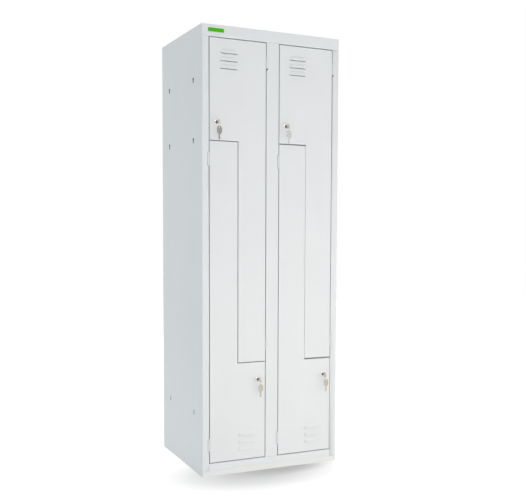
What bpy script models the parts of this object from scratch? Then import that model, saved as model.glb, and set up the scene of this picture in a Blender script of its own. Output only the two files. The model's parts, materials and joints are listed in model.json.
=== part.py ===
# A two-column Z locker in folded sheet steel. Each column holds two people: an upper and a lower
# compartment, each closed by an L-shaped door that interlocks with its neighbour.
# Metres, +Z up. The origin is on the floor under the middle of the cabinet, and the doors face -Y.
import math

import bmesh
import bpy
from mathutils import Matrix, Vector

# Cabinet
CABINET_WIDTH = 0.600
CABINET_DEPTH = 0.550
CABINET_HEIGHT = 1.800
SHEET = 0.0010  # sheet steel of body, shelves and partitions
BACK_SHEET = 0.0008
BEND_RADIUS = 0.0010  # at the middle of the sheet
SEAM = 0.0003  # between pieces that lie against each other
OVERRUN = 0.0020  # how far a cut runs past the sheet it goes through
SHAVE = 0.00015  # kept beside a trim, so that no cut runs along a sheet's own face

# Front frame
STILE_WIDTH = 0.028
MULLION_WIDTH = 0.054
HEADER_HEIGHT = 0.047
SILL_HEIGHT = 0.030
BASE_HEIGHT = 0.022
STOP_WIDTH = 0.012  # how far a door stop reaches into the opening
STOP_CLEARANCE = 0.001  # between a closed door's back and the stop
BACK_FLANGE = 0.015

# Base tray under the cabinet
BASE_SHEET = 0.0015
BASE_RIM = 0.025
BASE_RUNNER = 0.060  # width of the strip down the middle that rests on the floor

# Inside
SHELF_SETBACK = 0.028  # from the cabinet's front to a shelf's front edge
SHELF_LIP = 0.020
SHELF_LIP_RETURN = 0.008
HAT_SHELF_DROP = 0.163  # from the opening's top
SHOE_SHELF_RISE = 0.189  # from the compartment floor
PARTITION_FLANGE = 0.020
PARTITION_LIP = 0.012
PARTITION_FRONT_FLANGE = 0.015
RAIL_RADIUS = 0.0075
RAIL_CUP_RADIUS = 0.0125
RAIL_CUP_DEPTH = 0.004
RAIL_DROP = 0.050  # from a shelf's or a step's underside down to the rail's middle

# Shelf slots in the side panels
SLOT_HEIGHT = 0.020
SLOT_WIDTH = 0.006
SLOT_WAIST = 0.003
SLOT_INSET = 0.110  # from the cabinet's front and from its back
SLOT_RISE = 0.003  # a slot's middle above its shelf

# Doors
DOOR_GAP = 0.003
DOOR_DEPTH = 0.018
DOOR_SHEET = 0.0009
DOOR_LIP = 0.011
DOOR_EDGE_RADIUS = 0.0015
WIDE_BAY_HEIGHT = 0.4015  # from the opening's end to the middle of the gap between the doors

# Louvres, pressed out of the door sheet and open at the bottom
LOUVRE_COUNT = 3
LOUVRE_WIDTH = 0.076
LOUVRE_HEIGHT = 0.017
LOUVRE_PROUD = 0.0045
LOUVRE_SINK = 0.0045  # how far the pressed form's middle lies behind the door's face
LOUVRE_END = 0.014  # length of each rounded end
LOUVRE_PITCH = 0.030
LOUVRE_SHIFT = 0.0385  # from the door's middle towards its free edge
LOUVRE_UNDERCUT = 0.0005

# Hinges, with the axis just outside the door's edge and just behind its face
HINGE_HEIGHT = 0.055
HINGE_EDGE_OFFSET = 0.0048
HINGE_DEPTH = 0.001
KNUCKLE_RADIUS = 0.004
PIN_RADIUS = 0.002
PIN_CLEARANCE = 0.0003
LEAF_SHEET = 0.0012
LEAF_START = 0.005
DOOR_LEAF_END = 0.014
FRAME_LEAF_END = 0.016
NOTCH_CLEARANCE = 0.0005
NOTCH_DEPTH = 0.006
KNUCKLE_COUNT = 3

# Locks, measured along the lock's axis from the door's face
LOCK_EDGE_INSET = 0.0305
RIM_RADIUS = 0.011
RIM_PROUD = 0.0025
RIM_CHAMFER = 0.0008
BARREL_RADIUS = 0.009
BARREL_END = 0.020
NUT_RADIUS = 0.0125
NUT_THICKNESS = 0.004
NUT_SIDES = 6
PLUG_RADIUS = 0.006
PLUG_CLEARANCE = 0.0003
PLUG_PROUD = 0.0020
PLUG_CHAMFER = 0.0004
PLUG_END = 0.0215
CAM_START = 0.0222
CAM_SHEET = 0.0018
CAM_REACH = 0.029
CAM_HUB_RADIUS = 0.007
CAM_TIP_RADIUS = 0.005
CAM_BOLT_RADIUS = 0.004
CAM_BOLT_HEAD = 0.0015
KEYWAY_WIDTH = 0.0024
KEYWAY_HEIGHT = 0.0082

# Keys
KEY_SHEET = 0.0018
KEY_BLADE_WIDTH = 0.0074
KEY_BLADE_LENGTH = 0.0225
KEY_TIP = 0.003
KEY_BOW_LENGTH = 0.031
KEY_BOW_WIDTH = 0.021
KEY_HOLE_RADIUS = 0.0028
KEY_HOLE_INSET = 0.0058  # from the bow's end to the middle of the hole
KEY_STANDOFF = 0.004  # from the door's face to the bow of the key in the lock
KEY_CUT_SHARES = (0.30, 0.12, 0.34, 0.20)  # depth of each cut as a share of the blade's width
RING_RADIUS = 0.0104
RING_WIRE_RADIUS = 0.0006
RING_SEAT = 0.0006  # between the ring's wire and the bow, clear of the hole's edges
RING_TURN = math.radians(45)
SPARE_KEY_RISE = 0.00075  # the wire's middle above the middle of the spare key's hole

# Label plate on the header
LABEL_WIDTH = 0.066
LABEL_HEIGHT = 0.015
LABEL_SHEET = 0.0006
LABEL_LEFT = 0.0247  # from the cabinet's left side
LABEL_DROP = 0.014  # from the cabinet's top

# How round things are
BEND_STEPS = 3
EDGE_SEGMENTS = 2
ROUND_PROFILE = 0.5
UNIT = 1.0  # size of the cube and ball that boxes and louvre forms are stretched from
OUTWARD = 1.0  # side of a surface that its sheet is laid on
INWARD = -1.0
TURN_STEPS = 24
KNUCKLE_SIDES = 12
BOW_POINTS = 20
HOLE_POINTS = 12
RING_SEGMENTS = 24
RING_SIDES = 6
LOUVRE_SEGMENTS = 16
LOUVRE_RINGS = 7  # odd, so that the form keeps a straight middle
MERGE_DISTANCE = 0.00001
SMOOTH_ANGLE = math.radians(30)

# What differs between the two kinds of door. Places are measured from the door's wide end.
# An upper door is a lower door turned half round about an axis from front to back.
DOOR_KINDS = {
    "upper": {
        "turn": math.pi,
        "lock_from_step": 0.0690,
        "louvre_inset": 0.040,
        "hinge_insets": (0.0780, 0.0705),
    },
    "lower": {
        "turn": 0.0,
        "lock_from_step": 0.0690,
        "louvre_inset": 0.040,
        "hinge_insets": (0.0735, 0.0735),
    },
}
SIDES = ("left", "right")

# Places worked out from the sizes above
LEFT = -CABINET_WIDTH / 2
RIGHT = CABINET_WIDTH / 2
FRONT = -CABINET_DEPTH / 2
BACK = CABINET_DEPTH / 2
OPENING_WIDTH = (CABINET_WIDTH - 2 * STILE_WIDTH - MULLION_WIDTH) / 2
OPENING_LEFT = {"left": LEFT + STILE_WIDTH, "right": MULLION_WIDTH / 2}
OPENING_BOTTOM = BASE_HEIGHT + SILL_HEIGHT
OPENING_TOP = CABINET_HEIGHT - HEADER_HEIGHT
UPPER_SPLIT = OPENING_TOP - WIDE_BAY_HEIGHT
LOWER_SPLIT = OPENING_BOTTOM + WIDE_BAY_HEIGHT
HAT_SHELF_HEIGHT = OPENING_TOP - HAT_SHELF_DROP
SHOE_SHELF_HEIGHT = OPENING_BOTTOM + SHOE_SHELF_RISE
DOOR_WIDTH = OPENING_WIDTH - 2 * DOOR_GAP
STRIP_WIDTH = (DOOR_WIDTH - DOOR_GAP) / 2
WIDE_PART_HEIGHT = WIDE_BAY_HEIGHT - DOOR_GAP - DOOR_GAP / 2
DOOR_HEIGHT = UPPER_SPLIT - DOOR_GAP / 2 - OPENING_BOTTOM - DOOR_GAP
STOP_FRONT = FRONT + DOOR_DEPTH + STOP_CLEARANCE  # stops on stiles and mullion
INNER_STOP_FRONT = STOP_FRONT + SHEET + SEAM  # stops on header and partitions, behind those
INTERIOR_BACK = BACK - SHEET - SEAM - BACK_SHEET - SEAM
INSIDE_BACK = {"left": INTERIOR_BACK, "right": INTERIOR_BACK - SHEET - SEAM}
WALLS = {
    "left": (LEFT + SHEET + SEAM, -SHEET / 2 - SEAM),
    "right": (SHEET / 2 + SEAM, RIGHT - SHEET - SEAM),
}
SLOT_SHELVES = {
    "left": (HAT_SHELF_HEIGHT, UPPER_SPLIT, SHOE_SHELF_HEIGHT),
    "right": (HAT_SHELF_HEIGHT, LOWER_SPLIT, SHOE_SHELF_HEIGHT),
}


def clear_scene():
    for item in list(bpy.data.objects):
        bpy.data.objects.remove(item, do_unlink=True)


def make_collection(name):
    made = bpy.data.collections.new(name)
    bpy.context.scene.collection.children.link(made)
    return made


clear_scene()
LOCKER = make_collection("z_locker")
CUTTERS = make_collection("cutters")


def make_material(name, colour, roughness, metallic):
    material = bpy.data.materials.new(name)
    material.use_nodes = True
    shader = material.node_tree.nodes["Principled BSDF"]
    shader.inputs["Base Color"].default_value = (*colour, 1.0)
    shader.inputs["Roughness"].default_value = roughness
    shader.inputs["Metallic"].default_value = metallic
    return material


BODY_PAINT = make_material("body_paint", (0.72, 0.75, 0.76), 0.45, 0.0)
DOOR_PAINT = make_material("door_paint", (0.74, 0.77, 0.78), 0.45, 0.0)
INSIDE_PAINT = make_material("inside_paint", (0.62, 0.65, 0.66), 0.55, 0.0)
ZINC = make_material("zinc", (0.72, 0.72, 0.70), 0.40, 0.8)
CHROME = make_material("chrome", (0.85, 0.85, 0.86), 0.12, 1.0)
NICKEL = make_material("nickel", (0.66, 0.61, 0.53), 0.28, 1.0)
GREEN = make_material("green_plate", (0.06, 0.50, 0.01), 0.50, 0.0)


def put(name, mesh, material, parent=None, location=(0, 0, 0), turn=(0, 0, 0)):
    # A piece of the locker
    item = bpy.data.objects.new(name, mesh)
    LOCKER.objects.link(item)
    if not mesh.materials:
        mesh.materials.append(material)
    item.parent = parent
    item.location = location
    item.rotation_euler = turn
    return item


def put_cutter(name, mesh, parent=None, location=(0, 0, 0), turn=(0, 0, 0)):
    # A shape that only cuts a piece or is joined to one
    item = bpy.data.objects.new(name, mesh)
    CUTTERS.objects.link(item)
    item.parent = parent
    item.location = location
    item.rotation_euler = turn
    item.hide_render = True
    item.display_type = "WIRE"
    return item


def put_axis(name, parent=None, location=(0, 0, 0), turn=(0, 0, 0)):
    # An empty on the axis that a group of pieces turns about
    item = bpy.data.objects.new(name, None)
    LOCKER.objects.link(item)
    item.parent = parent
    item.location = location
    item.rotation_euler = turn
    return item


def boolean(item, other, operation):
    step = item.modifiers.new(other.name, "BOOLEAN")
    step.operation = operation
    step.object = other


def cut(item, other):
    boolean(item, other, "DIFFERENCE")


def join(item, other):
    boolean(item, other, "UNION")


def solidify(item, thickness, offset=0.0):
    step = item.modifiers.new("sheet", "SOLIDIFY")
    step.thickness = thickness
    step.offset = offset
    step.use_even_offset = True


def to_mesh(name, bm):
    mesh = bpy.data.meshes.new(name)
    bm.normal_update()
    bm.to_mesh(mesh)
    bm.free()
    return mesh


def add_box(bm, low, high):
    low, high = Vector(low), Vector(high)
    place = Matrix.LocRotScale((low + high) / 2, None, high - low)
    bmesh.ops.create_cube(bm, size=UNIT, matrix=place)


def box_mesh(name, *boxes):
    # One or more boxes that don't touch, each given by its lowest and highest corner
    bm = bmesh.new()
    for low, high in boxes:
        add_box(bm, low, high)
    return to_mesh(name, bm)


def cylinder_mesh(name, radius, start, end, sides=TURN_STEPS):
    # Along Z, from start to end
    bm = bmesh.new()
    place = Matrix.Translation((0, 0, (start + end) / 2))
    bmesh.ops.create_cone(
        bm, cap_ends=True, segments=sides, radius1=radius, radius2=radius, depth=end - start, matrix=place
    )
    return to_mesh(name, bm)


def rounded(points):
    # The same path with each corner turned into an arc of the bend's radius
    points = [Vector(point) for point in points]
    path = [points[0]]
    for before, corner, after in zip(points, points[1:], points[2:]):
        to_before = (before - corner).normalized()
        to_after = (after - corner).normalized()
        half_angle = to_before.angle(to_after) / 2
        centre = corner + (to_before + to_after).normalized() * BEND_RADIUS / math.sin(half_angle)
        reach = BEND_RADIUS / math.tan(half_angle)
        first = corner + to_before * reach - centre
        last = corner + to_after * reach - centre
        sweep = math.pi - 2 * half_angle
        for step in range(BEND_STEPS + 1):
            angle = sweep * step / BEND_STEPS
            blend = first * math.sin(sweep - angle) + last * math.sin(angle)
            path.append(centre + blend / math.sin(sweep))
    path.append(points[-1])
    return path


SPREAD = {
    "X": lambda a, b, along: (along, a, b),
    "Y": lambda a, b, along: (a, along, b),
    "Z": lambda a, b, along: (a, b, along),
}


def folded_mesh(name, path, axis, start, end):
    # The open surface that a bent path sweeps along an axis
    bm = bmesh.new()
    points = [bm.verts.new(SPREAD[axis](a, b, start)) for a, b in path]
    edges = [bm.edges.new(pair) for pair in zip(points, points[1:])]
    swept = bmesh.ops.extrude_edge_only(bm, edges=edges)["geom"]
    moved = [part for part in swept if isinstance(part, bmesh.types.BMVert)]
    bmesh.ops.translate(bm, verts=moved, vec=SPREAD[axis](0, 0, end - start))
    return to_mesh(name, bm)


def folded_sheet(name, corners, axis, start, end, material):
    # A bent piece of sheet steel whose middle surface follows the corners
    item = put(name, folded_mesh(name, rounded(corners), axis, start, end), material)
    solidify(item, SHEET)
    return item


def turned(item_name, profile, material, parent, turn=(0, 0, 0), location=(0, 0, 0), steps=TURN_STEPS):
    # A turned piece; the profile holds radius and height, from the top of its outer side down
    bm = bmesh.new()
    points = [bm.verts.new((radius, 0, height)) for radius, height in profile]
    for pair in zip(points, points[1:]):
        bm.edges.new(pair)
    item = put(item_name, to_mesh(item_name, bm), material, parent, location, turn)
    step = item.modifiers.new("turn", "SCREW")
    step.steps = steps
    step.render_steps = steps
    step.use_merge_vertices = True
    step.merge_threshold = MERGE_DISTANCE
    return item


def plate_mesh(name, thickness, *outlines):
    # A flat plate in XY, centred on Z; outlines after the first are holes in it
    curve = bpy.data.curves.new(name, "CURVE")
    curve.dimensions = "2D"
    curve.fill_mode = "BOTH"
    curve.extrude = thickness / 2
    for outline in outlines:
        spline = curve.splines.new("POLY")
        spline.points.add(len(outline[1:]))
        for point, (x, y) in zip(spline.points, outline):
            point.co = (x, y, 0, 1)
        spline.use_cyclic_u = True
    drawn = bpy.data.objects.new(name, curve)
    CUTTERS.objects.link(drawn)
    bpy.context.view_layer.update()
    mesh = bpy.data.meshes.new_from_object(drawn.evaluated_get(bpy.context.evaluated_depsgraph_get()))
    bpy.data.objects.remove(drawn, do_unlink=True)
    bm = bmesh.new()
    bm.from_mesh(mesh)
    bmesh.ops.remove_doubles(bm, verts=bm.verts, dist=MERGE_DISTANCE)
    bmesh.ops.recalc_face_normals(bm, faces=bm.faces)
    bm.to_mesh(mesh)
    bm.free()
    return mesh


def circle(radius, count, centre=(0, 0), start=0.0, end=2 * math.pi, closed=True):
    gaps = count if closed else count - 1
    angles = [start + (end - start) * index / gaps for index in range(count)]
    return [(centre[0] + radius * math.cos(a), centre[1] + radius * math.sin(a)) for a in angles]


def shade_round(mesh):
    mesh.shade_smooth()
    mesh.set_sharp_from_angle(angle=SMOOTH_ANGLE)


# Doors and their hinges: where they are

def door_frame(side, level):
    # The hinge axis at the door's wide end, and the turn that stands the door in its opening
    kind = DOOR_KINDS[level]
    inward = HINGE_EDGE_OFFSET - DOOR_GAP
    if level == "lower":
        x = OPENING_LEFT[side] - inward
        z = OPENING_BOTTOM + DOOR_GAP
    else:
        x = OPENING_LEFT[side] + OPENING_WIDTH + inward
        z = OPENING_TOP - DOOR_GAP
    return Vector((x, FRONT + HINGE_DEPTH, z)), kind["turn"]


def hinge_heights(level):
    # Measured along the door from its wide end
    near, far = DOOR_KINDS[level]["hinge_insets"]
    return {"near": near, "far": DOOR_HEIGHT - far}


def hinge_name(level, end):
    # The upper door's wide end is its top, and the lower door's its bottom
    at_top = (level == "upper") == (end == "near")
    return "top_hinge" if at_top else "bottom_hinge"


def hinge_places(side, level):
    origin, turn = door_frame(side, level)
    upright = math.cos(turn)
    return {end: origin + Vector((0, 0, upright * height)) for end, height in hinge_heights(level).items()}


# Cabinet

def hinge_notches(name, side, level):
    # Clearance in the frame's corner for the knuckles of one door's hinges
    reach = KNUCKLE_RADIUS + NOTCH_CLEARANCE
    to_opening = HINGE_EDGE_OFFSET - DOOR_GAP + OVERRUN
    toward = 1 if level == "lower" else -1
    boxes = []
    for place in hinge_places(side, level).values():
        xs = sorted((place.x - toward * reach, place.x + toward * to_opening))
        tall = HINGE_HEIGHT / 2 + NOTCH_CLEARANCE
        low = (xs[0], FRONT - OVERRUN, place.z - tall)
        high = (xs[1], FRONT + NOTCH_DEPTH, place.z + tall)
        boxes.append((low, high))
    return put_cutter(name, box_mesh(name, *boxes))


def slot_outline(y, z):
    # Two round ends joined by a narrower waist
    radius = SLOT_WIDTH / 2
    reach = SLOT_HEIGHT / 2 - radius
    lean = math.asin(SLOT_WAIST / SLOT_WIDTH)
    start = lean - math.pi / 2
    end = 3 * math.pi / 2 - lean
    top = circle(radius, HOLE_POINTS, (y, z + reach), start, end, closed=False)
    bottom = circle(radius, HOLE_POINTS, (y, z - reach), start + math.pi, end + math.pi, closed=False)
    return top + bottom


def slot_cutters(side, wall_x):
    outlines = []
    for shelf in SLOT_SHELVES[side]:
        for y in (FRONT + SLOT_INSET, BACK - SLOT_INSET):
            outlines.append(slot_outline(y, shelf + SLOT_RISE))
    mesh = plate_mesh(f"{side}_slots", SHEET + 2 * OVERRUN, *outlines)
    return put_cutter(f"{side}_slots", mesh, None, (wall_x, 0, 0), (math.pi / 2, 0, math.pi / 2))


def post_web(name, across, front, height):
    # A small plate across a hollow post, where a floor or a partition meets it from behind
    xs = sorted(across)
    low = (xs[0], front, height - SHEET / 2)
    high = (xs[1], STOP_FRONT - SHAVE, height + SHEET / 2)
    return put_cutter(name, box_mesh(name, (low, high)))


def make_side_panel(side):
    # Side sheet, front stile, its return, door stop and back flange, folded from one sheet
    toward = 1 if side == "left" else -1
    outer = LEFT if side == "left" else RIGHT
    middle = SHEET / 2
    wall = outer + toward * middle
    opening = outer + toward * STILE_WIDTH
    corners = [
        (opening + toward * STOP_WIDTH, STOP_FRONT + middle),
        (opening - toward * middle, STOP_FRONT + middle),
        (opening - toward * middle, FRONT + middle),
        (wall, FRONT + middle),
        (wall, BACK - middle),
        (outer + toward * BACK_FLANGE, BACK - middle),
    ]
    name = f"{side}_side_panel"
    panel = folded_sheet(name, corners, "Z", 0, CABINET_HEIGHT - SHEET - SEAM, BODY_PAINT)
    split = UPPER_SPLIT if side == "left" else LOWER_SPLIT
    across = (wall, opening - toward * middle)
    for web, height in (("floor_web", OPENING_BOTTOM - middle), ("split_web", split)):
        join(panel, post_web(f"{name}_{web}", across, FRONT + middle, height))
    inner = outer + toward * (SHEET + SHAVE)
    far = opening + toward * (STOP_WIDTH + OVERRUN)
    wide = sorted((inner, far))
    above = OPENING_TOP - SEAM
    past_return = STOP_FRONT + SHEET + OVERRUN
    room = BASE_HEIGHT + SEAM
    stop_side = sorted((opening + toward * SHAVE, far))
    whole = sorted((outer - toward * OVERRUN, far))
    lip_foot = OPENING_BOTTOM + SEAM
    trims = {
        "base": (wide, BACK + OVERRUN, (-OVERRUN, room)),
        "header": (wide, past_return, (above, CABINET_HEIGHT)),
        "header_face": (whole, FRONT + SHEET + SEAM, (above, CABINET_HEIGHT)),
        "floor": (stop_side, past_return, (-OVERRUN, lip_foot)),
    }
    for trim, (xs, depth, zs) in trims.items():
        box = box_mesh(f"{name}_{trim}", ((xs[0], FRONT - OVERRUN, zs[0]), (xs[1], depth, zs[1])))
        cut(panel, put_cutter(f"{name}_{trim}", box))
    level = "lower" if side == "left" else "upper"
    cut(panel, hinge_notches(f"{name}_hinge_notches", side, level))
    cut(panel, slot_cutters(side, wall))


def make_mullion():
    # A hat section: face, two returns and two door stops
    middle = SHEET / 2
    edge = MULLION_WIDTH / 2
    half = [
        (edge + STOP_WIDTH, STOP_FRONT + middle),
        (edge - middle, STOP_FRONT + middle),
        (edge - middle, FRONT + middle),
    ]
    corners = half + [(-x, y) for x, y in reversed(half)]
    mullion = folded_sheet("mullion", corners, "Z", OPENING_BOTTOM + SEAM, OPENING_TOP - SEAM, BODY_PAINT)
    beside = SHEET / 2 + SEAM
    behind_flange = FRONT + 2 * SHEET + 2 * SEAM
    join(mullion, post_web("mullion_left_web", (middle - edge, -beside), FRONT + middle, LOWER_SPLIT))
    join(mullion, post_web("mullion_right_web", (beside, edge - middle), behind_flange, UPPER_SPLIT))
    cut(mullion, hinge_notches("mullion_left_notches", "left", "upper"))
    cut(mullion, hinge_notches("mullion_right_notches", "right", "lower"))


def make_centre_partition():
    # The sheet between the columns, with a flange behind the mullion's face and one at the back
    front = FRONT + SHEET + SEAM + SHEET / 2
    back = INTERIOR_BACK - SHEET / 2
    corners = [(PARTITION_FRONT_FLANGE, front), (0, front), (0, back), (PARTITION_FRONT_FLANGE, back)]
    top = CABINET_HEIGHT - SHEET - SEAM
    sheet = folded_sheet("centre_partition", corners, "Z", OPENING_BOTTOM + SEAM, top, INSIDE_PAINT)
    low = (-OVERRUN, FRONT, OPENING_TOP - STOP_WIDTH - SEAM)
    high = (PARTITION_FRONT_FLANGE + OVERRUN, INNER_STOP_FRONT + SHEET + SEAM, CABINET_HEIGHT)
    cut(sheet, put_cutter("partition_header_notch", box_mesh("partition_header_notch", (low, high))))


def make_top_panel():
    # Top sheet folded down into the header, its return and the upper door stop, and a back flange
    middle = SHEET / 2
    corners = [
        (INNER_STOP_FRONT + middle, OPENING_TOP - STOP_WIDTH),
        (INNER_STOP_FRONT + middle, OPENING_TOP + middle),
        (FRONT + middle, OPENING_TOP + middle),
        (FRONT + middle, CABINET_HEIGHT - middle),
        (BACK - middle, CABINET_HEIGHT - middle),
        (BACK - middle, CABINET_HEIGHT - BACK_FLANGE),
    ]
    panel = folded_sheet("top_panel", corners, "X", LEFT, RIGHT, BODY_PAINT)
    bottom = OPENING_TOP - STOP_WIDTH - OVERRUN
    under = CABINET_HEIGHT - SHEET - SHAVE
    side_gap = CABINET_WIDTH / 2 - SHEET - SEAM
    flange_gap = CABINET_WIDTH / 2 - BACK_FLANGE - SEAM
    for toward, side in ((-1, "left"), (1, "right")):
        xs = sorted((toward * side_gap, toward * (RIGHT + OVERRUN)))
        inside = ((xs[0], FRONT + SHEET + SHAVE, bottom), (xs[1], BACK + OVERRUN, under))
        xs = sorted((toward * flange_gap, toward * (RIGHT + OVERRUN)))
        flange = ((xs[0], BACK - SHEET - SEAM, bottom), (xs[1], BACK + OVERRUN, under))
        for trim, (low, high) in (("side", inside), ("flange", flange)):
            name = f"top_{side}_{trim}_trim"
            cut(panel, put_cutter(name, box_mesh(name, (low, high))))


def make_bottom_panel():
    # Compartment floor folded down into the sill in front and a flange at the back
    middle = SHEET / 2
    foot = BASE_HEIGHT + SEAM
    back = INTERIOR_BACK - middle
    corners = [
        (FRONT + middle, foot),
        (FRONT + middle, OPENING_BOTTOM - middle),
        (back, OPENING_BOTTOM - middle),
        (back, foot),
    ]
    reach = CABINET_WIDTH / 2 - SHEET - SEAM
    panel = folded_sheet("bottom_panel", corners, "X", -reach, reach, BODY_PAINT)
    sill_end = CABINET_WIDTH / 2 - STILE_WIDTH - SEAM
    past_return = STOP_FRONT + SHEET + SEAM
    for toward, side in ((-1, "left"), (1, "right")):
        xs = sorted((toward * sill_end, toward * (reach + OVERRUN)))
        name = f"floor_{side}_notch"
        low = (xs[0], FRONT - OVERRUN, foot - OVERRUN)
        high = (xs[1], past_return, OPENING_BOTTOM + OVERRUN)
        cut(panel, put_cutter(name, box_mesh(name, (low, high))))


def make_back_panel():
    reach = CABINET_WIDTH / 2 - SHEET - BEND_RADIUS
    back = BACK - SHEET - SEAM
    low = (-reach, back - BACK_SHEET, BASE_HEIGHT + SEAM)
    high = (reach, back, CABINET_HEIGHT - SHEET - BEND_RADIUS)
    put("back_panel", box_mesh("back_panel", (low, high)), BODY_PAINT)


def make_base_frame():
    # A pressed tray with two windows, which leave a rim and a runner down the middle
    reach = CABINET_WIDTH / 2 - SHEET - SEAM
    block = box_mesh("base_frame", ((-reach, FRONT, 0), (reach, BACK, BASE_HEIGHT)))
    tray = put("base_frame", block, BODY_PAINT)
    wall = BASE_SHEET
    low = (-reach + wall, FRONT + wall, wall)
    high = (reach - wall, BACK - wall, BASE_HEIGHT + OVERRUN)
    cut(tray, put_cutter("base_hollow", box_mesh("base_hollow", (low, high))))
    windows = []
    for xs in ((-reach + BASE_RIM, -BASE_RUNNER / 2), (BASE_RUNNER / 2, reach - BASE_RIM)):
        low = (xs[0], FRONT + BASE_RIM, -OVERRUN)
        high = (xs[1], BACK - BASE_RIM, BASE_SHEET + OVERRUN)
        windows.append((low, high))
    cut(tray, put_cutter("base_windows", box_mesh("base_windows", *windows)))


# Inside the cabinet

def make_shelf(name, side, height):
    # A shelf across one column, folded down at the front and the back
    middle = SHEET / 2
    front = FRONT + SHELF_SETBACK + middle
    top = height + middle
    back = INSIDE_BACK[side] - middle
    corners = [
        (front + SHELF_LIP_RETURN, top - SHELF_LIP),
        (front, top - SHELF_LIP),
        (front, top),
        (back, top),
        (back, top - BACK_FLANGE),
    ]
    folded_sheet(name, corners, "X", WALLS[side][0], WALLS[side][1], INSIDE_PAINT)


def make_z_partition(side):
    # The bent sheet between the two compartments: a step, an upright web and a second step
    middle = SHEET / 2
    near, far = WALLS[side]
    web = OPENING_LEFT[side] + OPENING_WIDTH / 2
    corners = [
        (near + middle, UPPER_SPLIT + PARTITION_FLANGE),
        (near + middle, UPPER_SPLIT),
        (web, UPPER_SPLIT),
        (web, LOWER_SPLIT),
        (far - middle, LOWER_SPLIT),
        (far - middle, LOWER_SPLIT - PARTITION_FLANGE),
    ]
    name = f"{side}_z_partition"
    sheet = folded_sheet(name, corners, "Y", INNER_STOP_FRONT, INSIDE_BACK[side], INSIDE_PAINT)
    lip_path = folded_mesh(f"{name}_lip", corners[1:-1], "Y", INNER_STOP_FRONT, INNER_STOP_FRONT + SHEET)
    lip = put_cutter(f"{name}_lip", lip_path)
    solidify(lip, PARTITION_LIP, OUTWARD)
    join(sheet, lip)


def make_coat_rail(name, start, end, height):
    # A round rail with a cup at each end
    length = end - start - 2 * SEAM
    profile = [
        (0, length),
        (RAIL_CUP_RADIUS, length),
        (RAIL_CUP_RADIUS, length - RAIL_CUP_DEPTH),
        (RAIL_RADIUS, length - RAIL_CUP_DEPTH),
        (RAIL_RADIUS, RAIL_CUP_DEPTH),
        (RAIL_CUP_RADIUS, RAIL_CUP_DEPTH),
        (RAIL_CUP_RADIUS, 0),
        (0, 0),
    ]
    turned(name, profile, ZINC, None, (0, math.pi / 2, 0), (start + SEAM, 0, height))


def make_inside(side):
    make_z_partition(side)
    make_shelf(f"{side}_hat_shelf", side, HAT_SHELF_HEIGHT)
    make_shelf(f"{side}_shoe_shelf", side, SHOE_SHELF_HEIGHT)
    near, far = WALLS[side]
    web = OPENING_LEFT[side] + OPENING_WIDTH / 2 - SHEET / 2
    upper = HAT_SHELF_HEIGHT - RAIL_DROP
    lower = UPPER_SPLIT - SHEET / 2 - RAIL_DROP
    make_coat_rail(f"{side}_upper_coat_rail", near - SEAM, far + SEAM, upper)
    make_coat_rail(f"{side}_lower_coat_rail", near - SEAM, web, lower)


def make_label_plate():
    left = LEFT + LABEL_LEFT
    top = CABINET_HEIGHT - LABEL_DROP
    low = (left, FRONT - SEAM - LABEL_SHEET, top - LABEL_HEIGHT)
    high = (left + LABEL_WIDTH, FRONT - SEAM, top)
    put("label_plate", box_mesh("label_plate", (low, high)), GREEN)


# Hinges

def knuckle_band(index):
    # Bottom and top of one of the three knuckles, from the hinge's middle
    tall = (HINGE_HEIGHT - 2 * SEAM) / KNUCKLE_COUNT
    bottom = -HINGE_HEIGHT / 2 + index * (tall + SEAM)
    return bottom, bottom + tall


def frame_leaf_mesh():
    # The two outer knuckles, the pin between them and the leaf behind the frame's return
    outer = HINGE_EDGE_OFFSET - DOOR_GAP - SHEET - SEAM
    inner = outer - LEAF_SHEET
    tall = HINGE_HEIGHT / 2
    plate = box_mesh("frame_leaf", ((inner, LEAF_START, -tall), (outer, FRAME_LEAF_END, tall)))
    leaf = put_cutter("frame_leaf", plate)
    pin_reach = knuckle_band(1)[1] + SEAM + OVERRUN
    join(leaf, put_cutter("pin", cylinder_mesh("pin", PIN_RADIUS, -pin_reach, pin_reach, KNUCKLE_SIDES)))
    for index in (0, 2):
        bottom, top = knuckle_band(index)
        name = f"frame_knuckle_{index}"
        join(leaf, put_cutter(name, cylinder_mesh(name, KNUCKLE_RADIUS, bottom, top, KNUCKLE_SIDES)))
        name = f"frame_neck_{index}"
        neck = box_mesh(name, ((inner, 0, bottom), (outer, LEAF_START + OVERRUN, top)))
        join(leaf, put_cutter(name, neck))
    return leaf


def door_leaf_mesh():
    # The middle knuckle, bored for the pin, and the leaf against the door's folded edge
    outer = HINGE_EDGE_OFFSET - SEAM
    inner = outer - LEAF_SHEET
    tall = HINGE_HEIGHT / 2
    plate = box_mesh("door_leaf", ((inner, LEAF_START, -tall), (outer, DOOR_LEAF_END, tall)))
    leaf = put_cutter("door_leaf", plate)
    bottom, top = knuckle_band(1)
    knuckle = cylinder_mesh("door_knuckle", KNUCKLE_RADIUS, bottom, top, KNUCKLE_SIDES)
    join(leaf, put_cutter("door_knuckle", knuckle))
    neck = box_mesh("door_neck", ((inner, 0, bottom), (outer, LEAF_START + OVERRUN, top)))
    join(leaf, put_cutter("door_neck", neck))
    bore_radius = PIN_RADIUS + PIN_CLEARANCE
    bore = cylinder_mesh("pin_bore", bore_radius, bottom - OVERRUN, top + OVERRUN, KNUCKLE_SIDES)
    cut(leaf, put_cutter("pin_bore", bore))
    return leaf


def settled_mesh(name, item):
    # The shape of an object after its modifiers, as a mesh that copies can share
    bpy.context.view_layer.update()
    mesh = bpy.data.meshes.new_from_object(item.evaluated_get(bpy.context.evaluated_depsgraph_get()))
    mesh.name = name
    shade_round(mesh)
    return mesh


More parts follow.
